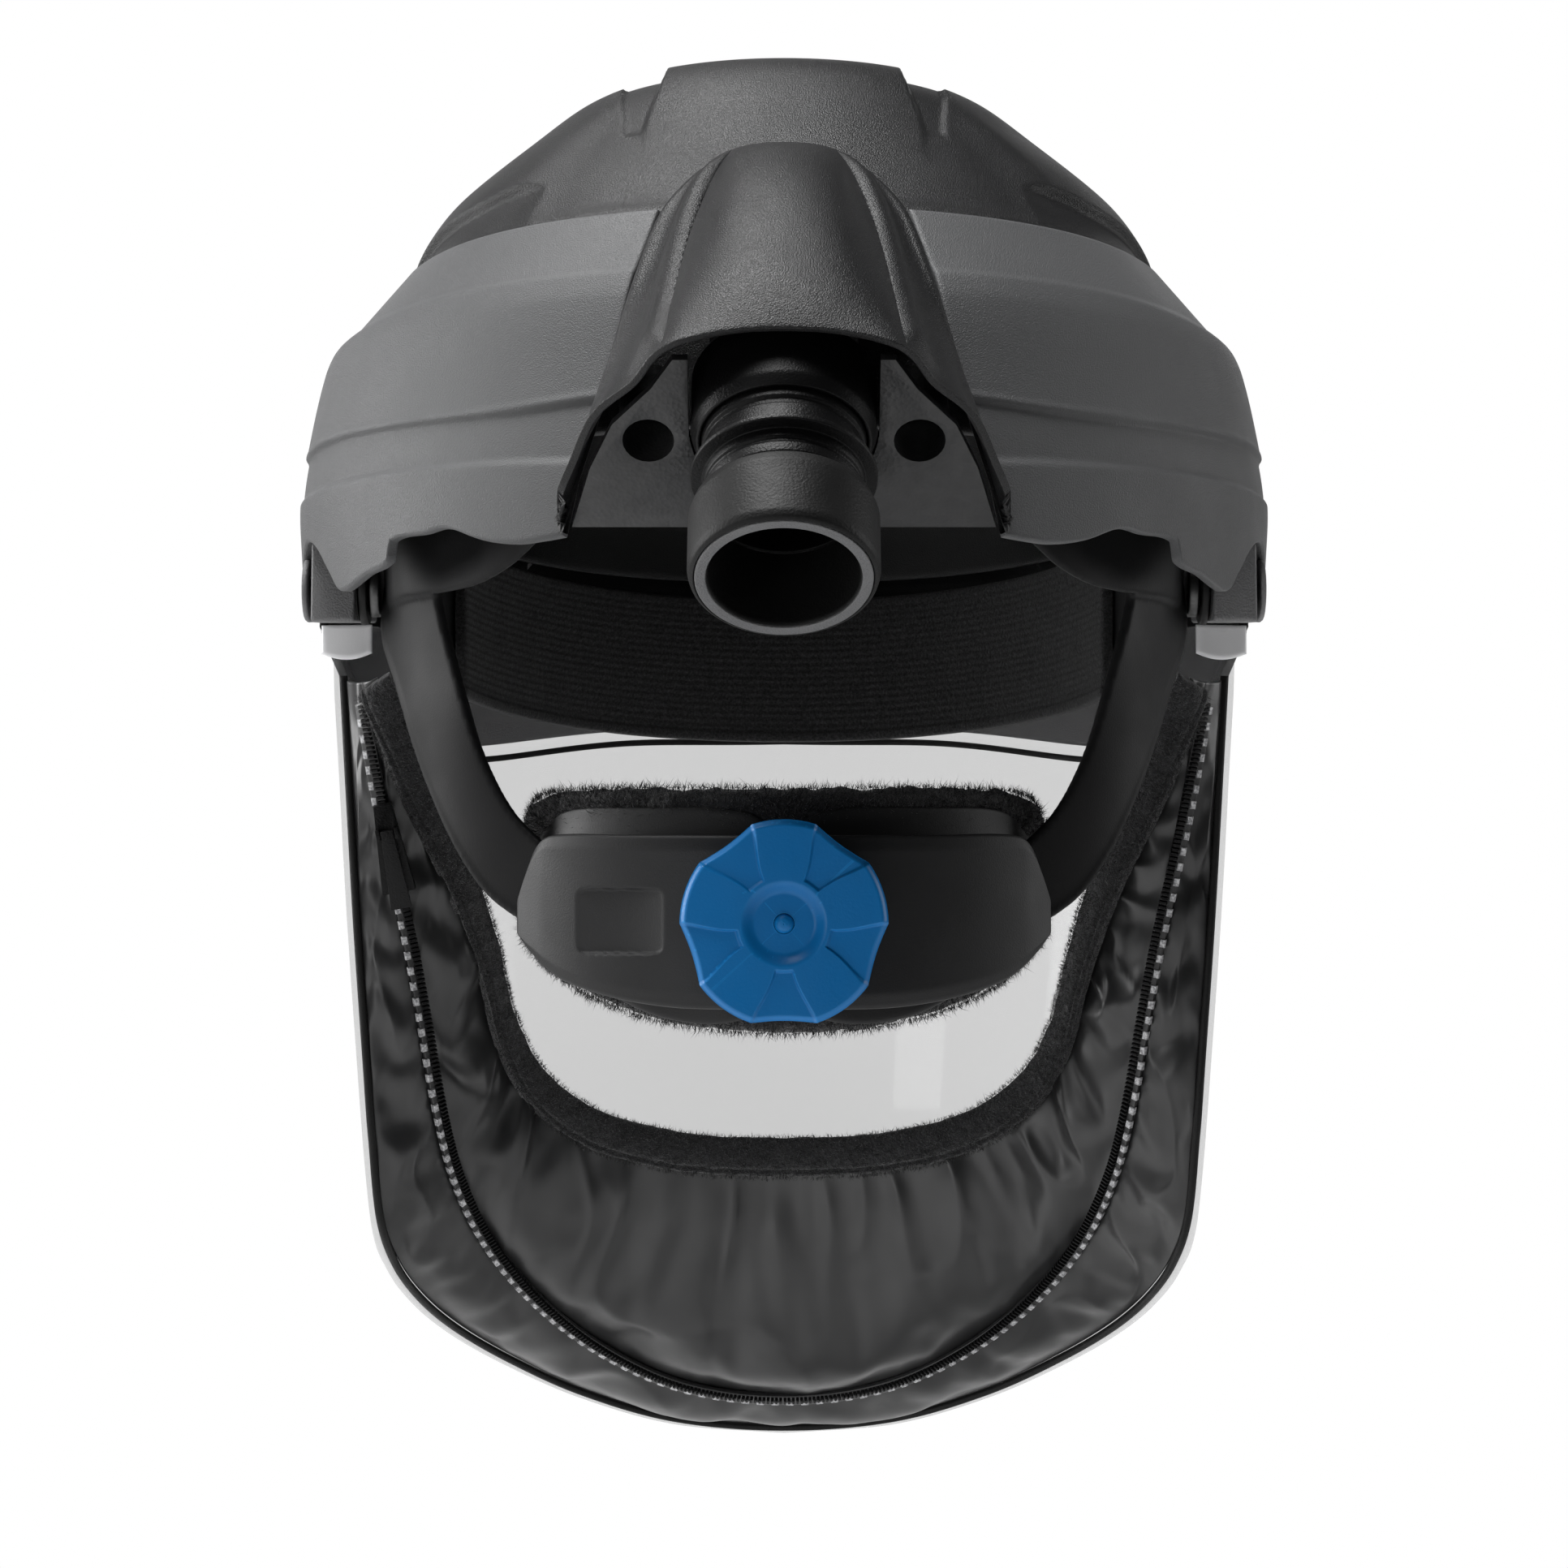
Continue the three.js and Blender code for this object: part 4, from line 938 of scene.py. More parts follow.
def panel_point(turn, z):
    """The panel's outer face: a chamfer above the upper crease and a shallow band between the lower two."""
    above = softly_positive(z - panel_upper_crease(turn), 0.5)
    band = smooth(0, 1.6, panel_middle_crease(turn) - z) * smooth(0, 1.6, z - panel_lower_crease(turn))
    lip = np.exp(-((z - panel_middle_crease(turn) - 0.6) / 0.8) ** 2) * 0.25
    angle = turn * RAD
    half = panel_level(z, 1) - PANEL_CHAMFER[0] * above - 0.9 * band + lip
    rear = panel_level(z, 2) - PANEL_CHAMFER[1] * above - 0.9 * band + lip
    return stacked(half * np.sin(angle), rear * np.cos(angle), z)


@on_grid
def panel_surface(u, v):
    """The panel from its top edge down; only its lowest rows follow the steps of the lower edge."""
    height = mix(PANEL_TOP, 0, v)
    turn = mix(panel_rear_edge(height), panel_front_edge(height), u)
    level = mix(PANEL_TOP, PANEL_ROW_FOOT, v)
    step = panel_lower_edge(np.maximum(turn, 24)) - PANEL_ROW_FOOT
    return panel_point(turn, level + step * smooth(PANEL_ROW_BEND, 1, v))


@on_grid
def panel_return(u, v):
    """The inward wall along the panel's front edge."""
    z = mix(32, PANEL_TOP - 6, v)
    turn = panel_front_edge(z)
    outer = panel_point(turn, z)
    inner = outer * np.array([0.9, 1, 1])
    return mix(inner, outer - np.array([1.0, 0, 0]), u[..., None]) + np.array([0, 2.6, 0])


def make_panels():
    main = plate("side_panel_left_finished", panel_surface, PANEL_WALL, 150, 130, edge=0.8)
    wall = plate("panel_return", panel_return, 2.0, 12, 40, edge=0.4)
    for panel, side in mirror_pair(joined("side_panel_left_finished", [main, wall])):
        finish(panel, "root", "panel", "panel", "side_panel_" + side)


# ------------------------------------------------------------------ duct and hose connector

hood_edge = through(HOOD_EDGE)
cover_curves = [Curve(mirrored([row[k] for row in COVER_ROWS])) for k in range(4)]


@on_grid
def cover_plain(u, v):
    a, b, c, d = (curve.by_number(1 - u) for curve in cover_curves)
    w, t = (1 - v)[..., None], v[..., None]
    return a * w ** 3 + 3 * b * w * w * t + 3 * c * w * t * t + d * t ** 3


@on_grid
def cover_point(u, v):
    """The duct cover with a raised rim and a crisp flute on each side of its hood."""
    point = cover_plain(u, v)
    normal = surface_normals(cover_plain, u, v, 4e-3)
    beyond = np.maximum(np.abs(point[..., 0]) - hood_edge(v), 0)
    flute = FLUTE_DEPTH * (1 - np.exp(-beyond / 0.9)) * np.exp(-(beyond / 6.5) ** 2)
    flute = flute * smooth(0.07, 0.3, v) * (1 - smooth(0.9, 1.0, v))
    rim = 0.8 * (1 - smooth(0.05, 0.09, v))
    return point + normal * (rim - flute - 0.8)[..., None]


def on_tube():
    return Matrix.Translation(TUBE_CENTRE) @ Matrix.Rotation(1.5 * math.pi - TUBE_TILT, 4, "X")


def make_duct():
    cover = plate("duct_cover_finished", cover_point, COVER_WALL, 300, 150, edge=0.5)
    finish(cover, "root", "shell", "shell", "duct_cover")
    rounded("duct_plate", 0.5, "root", "leather", "black_plastic")
    for side in ("left", "right"):
        rounded("duct_screw_" + side, 0.35, "root", "steel", "steel")


def make_connector():
    bore = HOSE_BORE
    socket = lathe("hose_socket_finished", filleted([
        (17.6, -12), (SOCKET_RADIUS, -12), (SOCKET_RADIUS, 4.6), (TUBE_RADIUS + 1.2, 7.4),
        (TUBE_RADIUS + 0.4, 7.4), (TUBE_RADIUS + 0.4, -9), (17.6, -9)], 0.7), on_tube())
    finish(socket, "root", "black", "black_plastic", "hose_socket")
    seal = lathe("socket_seal_finished", filleted([
        (bore + 0.3, -8.6), (TUBE_RADIUS, -8.6), (TUBE_RADIUS, -6.8), (bore + 0.3, -6.8)], 0.5), on_tube())
    finish(seal, "root", "rubber", "rubber", "socket_seal")
    tube = lathe("swivel_tube_finished", filleted([
        (bore, -6.4), (TUBE_RADIUS, -6.4), (TUBE_RADIUS, 9.4), (TUBE_RADIUS - 0.7, 9.9),
        (TUBE_RADIUS - 0.7, 11.2), (TUBE_RADIUS, 11.7), (TUBE_RADIUS, 16.9), (SOCKET_RADIUS, 17.2),
        (SOCKET_RADIUS, 18.6), (18.6, 19), (18.4, 21.2), (17.9, 21.6), (17.9, 22.4), (18.4, 22.8),
        (18.4, 25.6), (bore, 25.6)], 0.35), on_tube())
    finish(tube, "hose_connector", "black", "black_plastic", "swivel_tube")
    sleeve = lathe("connector_sleeve_finished", filleted([
        (bore, 26), (18.6, 26), (20.8, 27.8), (SLEEVE_RADIUS, 30.6), (SLEEVE_RADIUS, 45.4), (21.3, 47),
        (20.4, 47.6), (20.2, 47.1), (bore + 0.6, 47.4), (bore, 46.6)], 0.6), on_tube())
    finish(sleeve, "hose_connector", "rubber", "rubber", "connector_sleeve")
    face = lathe("connector_sleeve_face", filleted([
        (bore + 0.5, 46.2), (20.1, 46.6), (20.1, 47.8), (bore + 0.5, 47.7)], 0.3), on_tube())
    finish(face, "hose_connector", "ear", "rubber")


def make_air_path():
    for node in ("air_channel", "air_outlet"):
        rounded(node, 0.4, "root", "inner", "inner_plastic")


# ------------------------------------------------------------------ visor

lens_level = through(LENS_LEVELS)
lens_edge = through(LENS_EDGE)
brow_top = through(BROW_TOP)
brow_bottom = through(BROW_BOTTOM)


def visor_point(turn, z, offset=0.0):
    """A point of the visor's outer face; turn in degrees is 0 straight ahead."""
    half, reach = lens_level(z, 1) + offset, lens_level(z, 2) + offset
    power = 2 / VISOR_POWER
    angle = np.asarray(turn, float) * RAD
    x = half * np.sign(angle) * np.abs(np.sin(angle)) ** power
    y = VISOR_CENTRE_Y - reach * np.maximum(np.cos(angle), 0) ** power
    return stacked(x, y, z)


@on_grid
def brow_surface(u, v):
    """The visor frame's outer face, with a shallow raised field."""
    turn = mix(-88, 88, u)
    z = mix(brow_bottom(np.abs(turn)) + BROW_INSET, brow_top(np.abs(turn)), v)
    relief = 0.5 * smooth(0.12, 0.15, v) * (1 - smooth(0.82, 0.85, v))
    return visor_point(turn, z, FRAME_WALL + FRAME_GAP + relief)


@on_grid
def flange_surface(u, v):
    """The lip that runs inward from the frame's upper edge."""
    turn = mix(-58, 58, u)
    outer = visor_point(turn, brow_top(np.abs(turn)), 1)
    inward = mix(10, 0, v)
    length = np.hypot(outer[..., 0], outer[..., 1])
    scale = (1 - inward / length)[..., None]
    return np.concatenate([outer[..., :2] * scale, outer[..., 2:]], -1)


def prism(name, outline, start, depth, corner, bevel):
    """A [Y, Z] outline with rounded corners pushed out along X, with bevelled edges."""
    line = filleted(outline, corner)
    rings = [stacked(np.full(len(line), x), line[:, 0], line[:, 1]) for x in (start, start + depth)]
    obj = facing_out(loft(name, rings))
    modified(obj, ("BEVEL", {"width": bevel * MM, "segments": 3, "limit_method": "ANGLE",
                             "angle_limit": 40 * RAD}))
    obj.data.set_sharp_from_angle(angle=45 * RAD)
    return obj


def make_ear():
    """The visor's ear: a grained block round the pivot, with a thicker side ahead of it."""
    y, z = PIVOT
    block = prism("visor_ear", [(33.5, -11.7), (33.5, 9), (27, 10), (16, 6), (-20, 7), (-20, -4)],
                  EAR_INNER - 0.6, EAR_OUTER - EAR_INNER - 0.3, 1.6, 0.7)
    side = prism("visor_ear_side", [(8, -7.9), (8, 2), (-20, 6), (-20, -4)], EAR_OUTER - 1.5,
                 FRAME_SIDE - EAR_OUTER + 1.5, 1.5, 0.9)
    angle = np.linspace(0, 2 * math.pi, 32, endpoint=False)
    circle = [(y + EAR_BORE * math.cos(a), z + EAR_BORE * math.sin(a)) for a in angle]
    carved(block, prism("ear_hole", circle, 100, 40, 0.1, 0.01))
    return joined("visor_ear_left", [block, side])


def make_visor_frame():
    brow = plate("visor_frame_finished", brow_surface, FRAME_WALL, 260, 40, edge=0.7)
    flange = plate("visor_frame_lip", flange_surface, 2.4, 160, 10, edge=0.7)
    frame_piece = joined("visor_frame_finished", [brow, flange])
    finish(frame_piece, "visor", "black", "black_plastic", "visor_frame")
    for ear, _ in mirror_pair(make_ear()):
        finish(ear, "visor", "ear", "black_plastic")


@on_grid
def lens_surface(u, v):
    turn = mix(-LENS_SIDE, LENS_SIDE, u)
    top = mix(2, -12, smooth(70, LENS_SIDE, np.abs(turn)))
    return visor_point(turn, mix(lens_edge(np.abs(turn)), top, v))


lens_rim = Curve(mirrored([visor_point(turn, z + 1.8, -LENS_WALL - 1.2).tolist() for turn, z in LENS_EDGE]))
band_curve = Curve(mirrored(BAND_LINE))


def tube_along(name, curve, radius, steps, sides=12):
    """A round cord along a curve, with closed ends."""
    u = np.linspace(0, 1, steps)
    centre, ahead = curve.at(u), curve.tangent(u)
    side = unit(np.cross(ahead, np.array([0, 0.3, 1.0])))
    up = np.cross(side, ahead)
    angle = np.linspace(0, 2 * math.pi, sides, endpoint=False)
    rings = (centre[:, None] + radius * (np.cos(angle)[None, :, None] * side[:, None]
                                         + np.sin(angle)[None, :, None] * up[:, None]))
    return facing_out(loft(name, rings))


@on_grid
def brow_gasket_surface(u, v):
    turn = mix(-72, 72, u)
    return visor_point(turn, brow_bottom(np.abs(turn)) + mix(-1.6, 0.2, v), -LENS_WALL - 0.3)


@on_grid
def clip_surface(u, v):
    """The pale tab under the ear block, with a curved lower edge."""
    foot = mix(-11.5, -14.6, np.sin(math.pi * (0.15 + 0.7 * u)))
    return stacked(mix(125.2, 111.2, u), -14.6 - 1.8 * (1 - u) ** 2 + 0.5 * v, mix(foot, -5.2, v))


def make_lens():
    lens = plate("lens_finished", lens_surface, LENS_WALL, 240, 70, edge=0.35)
    finish(lens, "visor", "lens", "lens", "lens")
    gasket = tube_along("lens_gasket_finished", lens_rim, 1.15, 400)
    finish(gasket, "visor", "rubber", "rubber", "lens_gasket")
    strip = plate("brow_gasket_finished", brow_gasket_surface, 1.8, 200, 6, edge=0.5)
    finish(strip, "visor", "rubber", "rubber", "brow_gasket")
    for clip, side in mirror_pair(plate("lens_clip_left_finished", clip_surface, 2.6, 24, 20, edge=0.9)):
        finish(clip, "visor", "clip", "lens", "lens_clip_" + side)


def make_pivots():
    for side in ("left", "right"):
        rounded("pivot_bracket_" + side, 0.4, "root", "inner", "inner_plastic")
        rounded("pivot_pin_" + side, 0.5, "root", "pin", "steel")
        rounded("pivot_washer_" + side, 0.2, "root", "rubber", "rubber")
        rounded("pivot_cap_" + side, 0.5, "root", "ear", "black_plastic")


# ------------------------------------------------------------------ face seal and zipper


@on_grid
def seal_point(u, v):
    """The fabric's face; u runs from the right temple round the chin to the left, v out to the lens."""
    inner, rim = band_curve.at(u), lens_rim.at(u)
    outer = rim + unit(inner - rim) * SEAL_INSET
    chin = np.sin(math.pi * u)
    bulge = stacked(0 * u, mix(3, 15, chin * chin), mix(-2, -34, chin ** 4))
    middle = (inner + outer) / 2 + bulge
    w, t = (1 - v)[..., None], v[..., None]
    return inner * w * w + 2 * middle * w * t + outer * t * t


def seal_normal(u, v, step=0.01):
    u, v = np.clip(u, step, 1 - step), np.clip(v, step, 1 - step)
    along_u = seal_point(u + step, v) - seal_point(u - step, v)
    along_v = seal_point(u, v + step) - seal_point(u, v - step)
    return unit(np.cross(along_u, along_v))


def strip_on_seal(course, first, last, width, lift, bow=0.0):
    """A surface that lies on the fabric along v = course(u)."""
    @on_grid
    def surface(u, v):
        s = mix(first, last, u)
        t = course(s)
        out = unit(seal_point(s, np.minimum(t + 0.02, 1)) - seal_point(s, np.maximum(t - 0.02, 0)))
        rise = lift + bow * (1 - (2 * v - 1) ** 2)
        return seal_point(s, t) + out * ((v - 0.5) * width)[..., None] + seal_normal(s, t) * rise[..., None]
    return surface


def zipper_course(u):
    """How far out on the fabric the zipper runs."""
    return mix(0.48, 0.7, np.sin(math.pi * np.asarray(u)) ** 8)


def ridged(place, pitch, seed):
    """Noise with sharp crests, from 0 to 1."""
    return (1 - np.abs(value_noise(place, pitch, seed))) ** 2


def seal_relief(u, v):
    """How far the gathered fabric stands off its smooth shape before it is simulated, in millimetres."""
    zip_at = zipper_course(u)
    inside = np.clip(v / zip_at, 0, 1)
    outside = np.clip((v - zip_at) / (1 - zip_at), 0, 1)
    chin = np.sin(math.pi * np.clip(u, 0, 1)) ** 2
    place = seal_point(u, v)
    drift = 9 * value_noise(place, 40, 3)
    flat = stacked(u * SEAL_LENGTH + drift + 14 * inside, v * SEAL_DEPTH * 0.5 + drift, 0 * u)
    long_folds = ridged(flat, 24, 5) - 0.4
    short_folds = ridged(flat * np.array([1, 0.7, 1]), 11, 6) - 0.4
    near_band = np.exp(-((inside - 0.16) / 0.2) ** 2)
    held = np.sin(math.pi * inside) ** 0.7
    folds = held * mix(1.3, 5.2, chin) * (long_folds + value_noise(place, 22, 7))
    folds = folds + held * (0.4 + mix(2.0, 4.0, chin) * near_band) * short_folds
    skewed = stacked(u * SEAL_LENGTH * 1.2 + 30 * v, v * SEAL_DEPTH - u * 120, 0 * u)
    skirt = np.sin(math.pi * outside) * (1.7 * (ridged(skewed, 26, 8) - 0.35) + 0.6)
    return folds + skirt


def seal_grid():
    """The fabric as an open grid of points, and how firmly each one is held."""
    u = np.linspace(0.002, 0.998, SEAL_ROWS)[:, None]
    v = np.linspace(0, 1, SEAL_COLUMNS)[None, :]
    u, v = np.broadcast_arrays(u, v)
    points = seal_point(u, v) + seal_normal(u, v) * seal_relief(u, v)[..., None]
    on_zip = np.exp(-((v - zipper_course(u)) / 0.03) ** 2)
    edges = np.maximum(smooth(0.06, 0.02, v), smooth(0.95, 0.985, v))
    ends = smooth(0.02, 0.006, np.minimum(u, 1 - u))
    return points, np.clip(np.maximum(np.maximum(on_zip, edges), ends), 0, 1)


def evened(grid, rounds):
    """A grid of vectors averaged with its neighbours, a few times over."""
    for _ in range(rounds):
        for axis in (0, 1):
            mean = (np.roll(grid, 1, axis) + np.roll(grid, -1, axis) + 2 * grid) / 4
            inner = [slice(None)] * 3
            inner[axis] = slice(1, -1)
            grid = grid.copy()
            grid[tuple(inner)] = mean[tuple(inner)]
    return grid


def let_it_crumple(fabric, held):
    """Lets the fabric grow between its held lines, so that it crumples, and gives back its points."""
    group = fabric.vertex_groups.new(name="held")
    for index, weight in enumerate(held.ravel()):
        if weight > 0.02:
            group.add([index], float(weight), "REPLACE")
    cloth = fabric.modifiers.new("cloth", "CLOTH")
    cloth.settings.quality = 5
    cloth.settings.mass = 0.12
    cloth.settings.tension_stiffness = 15
    cloth.settings.compression_stiffness = 15
    cloth.settings.shear_stiffness = 5
    cloth.settings.bending_stiffness = 0.25
    cloth.settings.vertex_group_mass = "held"
    cloth.settings.shrink_min = -CLOTH_GROWTH
    cloth.settings.effector_weights.gravity = 0.15
    cloth.point_cache.frame_start, cloth.point_cache.frame_end = 1, CLOTH_FRAMES
    scene = bpy.context.scene
    for number in range(1, CLOTH_FRAMES + 1):
        scene.frame_set(number)
    shaped = fabric.evaluated_get(bpy.context.evaluated_depsgraph_get()).to_mesh()
    moved = np.empty(len(shaped.vertices) * 3)
    shaped.vertices.foreach_get("co", moved)
    fabric.modifiers.clear()
    scene.frame_set(1)
    return moved.reshape(-1, 3) / MM


def make_seal():
    points, held = seal_grid()
    fabric = mesh_object("face_seal_finished", points.reshape(-1, 3), grid_faces(SEAL_ROWS, SEAL_COLUMNS))
    start = points.reshape(-1, 3)
    travel = let_it_crumple(fabric, held) - start
    travel = evened(travel.reshape(SEAL_ROWS, SEAL_COLUMNS, 3), 4).reshape(-1, 3)
    length = np.linalg.norm(travel, axis=1, keepdims=True)
    capped = start + travel * np.minimum(1, FOLD_CAP / np.maximum(length, 1e-9))
    fabric.data.vertices.foreach_set("co", (capped * MM).ravel())
    fabric.data.update()
    fabric.vertex_groups.clear()
    modified(fabric, ("SUBSURF", {"levels": 1, "render_levels": 1}),
             ("SOLIDIFY", {"thickness": CLOTH_WALL * MM, "offset": -1}))
    finish(fabric, "visor", "nylon", "nylon", "face_seal")


def band_surface():
    """The fleece band along the fabric's inner edge, with a line of stitches."""
    plain = strip_on_seal(lambda s: 0 * s, 0.003, 0.997, BAND_WIDTH, 3.2, 1.1)

    @on_grid
    def surface(u, v):
        point = plain(u, v)
        stitch = np.exp(-((v - 0.82) / 0.03) ** 2) * 0.7
        soft = 0.35 * value_noise(point, 5, 21) + 0.2 * value_noise(point, 2.2, 22)
        return point + surface_normals(plain, u, v) * (soft - stitch)[..., None]
    return surface


def fuzz_on(name, surface, count, length, width):
    """Short fibres on a surface(u, v), which splay out over its two long edges."""
    u = RNG.uniform(0.002, 0.998, count)
    v = 0.5 - 0.5 * np.cos(math.pi * RNG.uniform(0, 1, count))
    across = unit(surface(u, np.minimum(v + 0.02, 1)) - surface(u, np.maximum(v - 0.02, 0)))
    splay = 1.8 * np.sign(v - 0.5) * np.abs(2 * v - 1) ** 6
    directions = unit(surface_normals(surface, u, v) + across * splay[:, None])
    return blades(name, surface(u, v), directions, length, width)


def make_band():
    surface = band_surface()
    band = plate("face_seal_band_finished", surface, 3.0, 500, 24, edge=1.1)
    finish(band, "visor", "fleece", "fleece", "face_seal_band")
    fuzz = fuzz_on("face_seal_band_fuzz", surface, 26000, 1.5, 0.15)
    finish(fuzz, "visor", "fleece", "fleece")


def zipper_frames(pitch, offset_across):
    """Places and directions at an even pitch along the zipper."""
    u = np.linspace(ZIPPER_FIRST, ZIPPER_LAST, 3000)
    line = seal_point(u, zipper_course(u))
    travel = np.concatenate([[0], np.cumsum(np.linalg.norm(np.diff(line, axis=0), axis=1))])
    marks = np.arange(pitch / 2, travel[-1] - pitch / 2, pitch)
    s = np.interp(marks, travel, u)
    centre = seal_point(s, zipper_course(s))
    before, after = s - 1e-3, s + 1e-3
    ahead = unit(seal_point(after, zipper_course(after)) - seal_point(before, zipper_course(before)))
    normal = seal_normal(s, zipper_course(s))
    across = unit(np.cross(ahead, normal))
    return centre + across * offset_across + normal * 0.8, ahead, across, normal


def little_blocks(name, frames, size, bevel=0.18):
    """One small chamfered block at each frame; size is along, across and up."""
    centre, ahead, across, normal = frames
    half = np.array(size) / 2
    corners = []
    for up, inset in ((0, 0), (0.75, 0), (1, bevel)):
        for a, b in ((-1, -1), (1, -1), (1, 1), (-1, 1)):
            corners.append((a * (half[0] - inset), b * (half[1] - inset), up * size[2]))
    along, aside, up = (column[None, :, None] for column in np.array(corners).T)
    points = centre[:, None] + along * ahead[:, None] + aside * across[:, None] + up * normal[:, None]
    quads = [[0, 3, 2, 1], [8, 9, 10, 11]]
    for low in (0, 4):
        quads += [[low + i, low + (i + 1) % 4, low + 4 + (i + 1) % 4, low + 4 + i] for i in range(4)]
    faces = (np.arange(len(centre))[:, None, None] * 12 + np.array(quads)[None]).reshape(-1, 4)
    return facing_out(mesh_object(name, points.reshape(-1, 3), faces, smooth_shading=False))


def make_zipper():
    surface = strip_on_seal(zipper_course, ZIPPER_FIRST, ZIPPER_LAST, ZIPPER_WIDTH, 1.7)
    tape = plate("zipper_finished", surface, 1.3, 500, 8, edge=0.3)
    finish(tape, "visor", "nylon", "nylon", "zipper")
    squares = little_blocks("zipper_squares", zipper_frames(SQUARE_PITCH, -1.3), (2.3, 1.6, 1.4))
    finish(squares, "visor", "silver", "nylon")
    teeth = little_blocks("zipper_coil", zipper_frames(TOOTH_PITCH, 0.9), (0.8, 2.2, 2.0))
    finish(teeth, "visor", "black", "black_plastic")
    rounded("zipper_slider", 0.5, "zipper_slider", "black", "black_plastic", segments=3)
    rounded("zipper_pull", 0.35, "zipper_pull", "black", "steel")


# ------------------------------------------------------------------ head harness


def headband_point(turn, z, offset=0.0):
    """A point of the band round the head; turn in degrees is 0 straight ahead."""
    angle = np.asarray(turn, float) * RAD
    return stacked((HEADBAND_HALF + offset) * np.sin(angle), -(HEADBAND_FRONT + offset) * np.cos(angle), z)


@on_grid
def forehead_surface(u, v):
    return headband_point(mix(-92, 92, u), mix(-12, 10, v))


@on_grid
def sweatband_plain(u, v):
    z = mix(-27, 15, v) + 4 * (2 * u - 1) ** 2
    return headband_point(mix(-74, 74, u), z, -2.8)


@on_grid
def sweatband_inside(u, v):
    """The knitted face, towards the head: rows along the band and a stitched hem."""
    rows = 0.12 * np.cos(2 * math.pi * v * 21) * smooth(0.04, 0.1, v) * (1 - smooth(0.93, 0.97, v))
    hem = 0.5 * (1 - smooth(0.05, 0.08, v))
    point = sweatband_plain(u, v)
    normal = surface_normals(sweatband_plain, u, v)
    return point - normal * (3.6 + rows + hem + 0.2 * value_noise(point, 9, 31))[..., None]


@on_grid
def strap_surface(u, v):
    angle = mix(0, math.pi, u)
    return stacked(98.6 * np.cos(angle), mix(11, -11, v), 11 + 101 * np.sin(angle))


def make_headband():
    band = plate("forehead_frame_finished", forehead_surface, 2.4, 220, 16, edge=0.8)
    finish(band, "root", "harness", "harness_plastic", "forehead_frame")

    def towards_head(u, v):
        return sweatband_inside(1 - u, v)

    sweat = plate("sweatband_finished", towards_head, 3.4, 320, 168, edge=1.2)
    finish(sweat, "root", "knit", "knit", "sweatband")
    strap = plate("crown_strap_finished", strap_surface, 1.6, 200, 16, edge=0.5)
    finish(strap, "root", "harness", "harness_plastic", "crown_strap")


wing_edges = through(WING_EDGES)
wing_curve, arm_outer, arm_inner = Curve(WING_LINE), Curve(ARM_OUTER), Curve(ARM_INNER)


@on_grid
def wing_surface(u, v):
    """The temple wing, a curved upright strip from the pivot round to the rear."""
    face = unit(np.cross(wing_curve.tangent(u), np.array([0, 0, 1.0])))
    point = wing_curve.at(u)
    point[..., 2] = mix(wing_edges(u, 1), wing_edges(u, 2), v)
    return point - face * (0.8 * (2 * v - 1) ** 4)[..., None]


@on_grid
def arm_surface(u, v):
    """The arm's outer face, bowed between its two edges, with a bead along the outer one."""
    outer, inner = arm_outer.at(u), arm_inner.at(u)
    side = unit(inner - outer)
    face = unit(np.cross(side, arm_outer.tangent(u)))
    face = face * np.sign(face[..., 1:2])
    bead = 0.7 * np.exp(-((v - 0.055) / 0.03) ** 2)
    bow = ARM_BOW * (1 - (2 * v - 1) ** 2) * (1 - smooth(0.6, 1, u)) + bead
    return mix(outer, inner, v[..., None]) + face * bow[..., None]


def make_arms():
    """Each wing and arm as one smooth moulding, joined where the arm meets the temple."""
    wing = plate("wing", wing_surface, 2.2, 120, 24, edge=0.8)
    arm = plate("arm", arm_surface, 3.0, 160, 30, edge=0.9)
    left = joined("arm_left_finished", [wing, arm])
    modified(left, ("REMESH", {"mode": "VOXEL", "voxel_size": 0.7 * MM}),
             ("SMOOTH", {"factor": 0.5, "iterations": 6}))
    for arm, side in mirror_pair(left):
        paint(arm, "arm")
        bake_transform(arm)
        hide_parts("temple_bracket_" + side, "arm_" + side)


# ------------------------------------------------------------------ nape


def on_nape(points):
    """Points of the nape piece's own frame, tilted and moved to their place."""
    c, s = math.cos(NAPE_TILT), math.sin(NAPE_TILT)
    x, y, z = np.moveaxis(points, -1, 0)
    return stacked(x, y * c + z * s + NAPE_CENTRE[1], z * c - y * s + NAPE_CENTRE[2])


def nape_point(turn, z, inset=0.0):
    """A point of the upright curve that the nape piece follows; turn in radians is 0 straight back."""
    radius = NAPE_RADIUS - inset
    return stacked(radius * np.sin(turn), radius * np.cos(turn) - NAPE_RADIUS, z)


NAPE_TURN = math.asin(NAPE_HALF_WIDTH / NAPE_RADIUS)
cover_top = through([[0, 20.5], [0.5, 20.5], [0.8, 20.5], [0.88, 18.5], [0.94, 12.5], [1, 4]])
cover_foot = through([[0, -20.5], [0.4, -20], [0.75, -15], [0.93, -8], [1, -4]])
carrier_top = through([[0, 20], [0.13, 26], [0.5, 27], [0.85, 26], [1, 20]])
carrier_foot = through([[0, -21], [0.22, -24.5], [0.45, -22.5], [0.7, -15], [1, -6]])
pad_top = through([[0, 31.5], [0.6, 31.5], [0.9, 29], [1, 22]])
pad_foot = through([[0, -27], [0.25, -25.5], [0.5, -21.5], [0.8, -13], [1, -5]])


def nape_band(inset, reach, top, foot, relief):
    """A surface round the nape between two height profiles, raised by a relief(part, v, z)."""
    @on_grid
    def surface(u, v):
        part = 1 - 2 * u
        z = mix(foot(np.abs(part)), top(np.abs(part)), v)
        return on_nape(nape_point(part * reach, z, inset - relief(part, v, z)))
    return surface


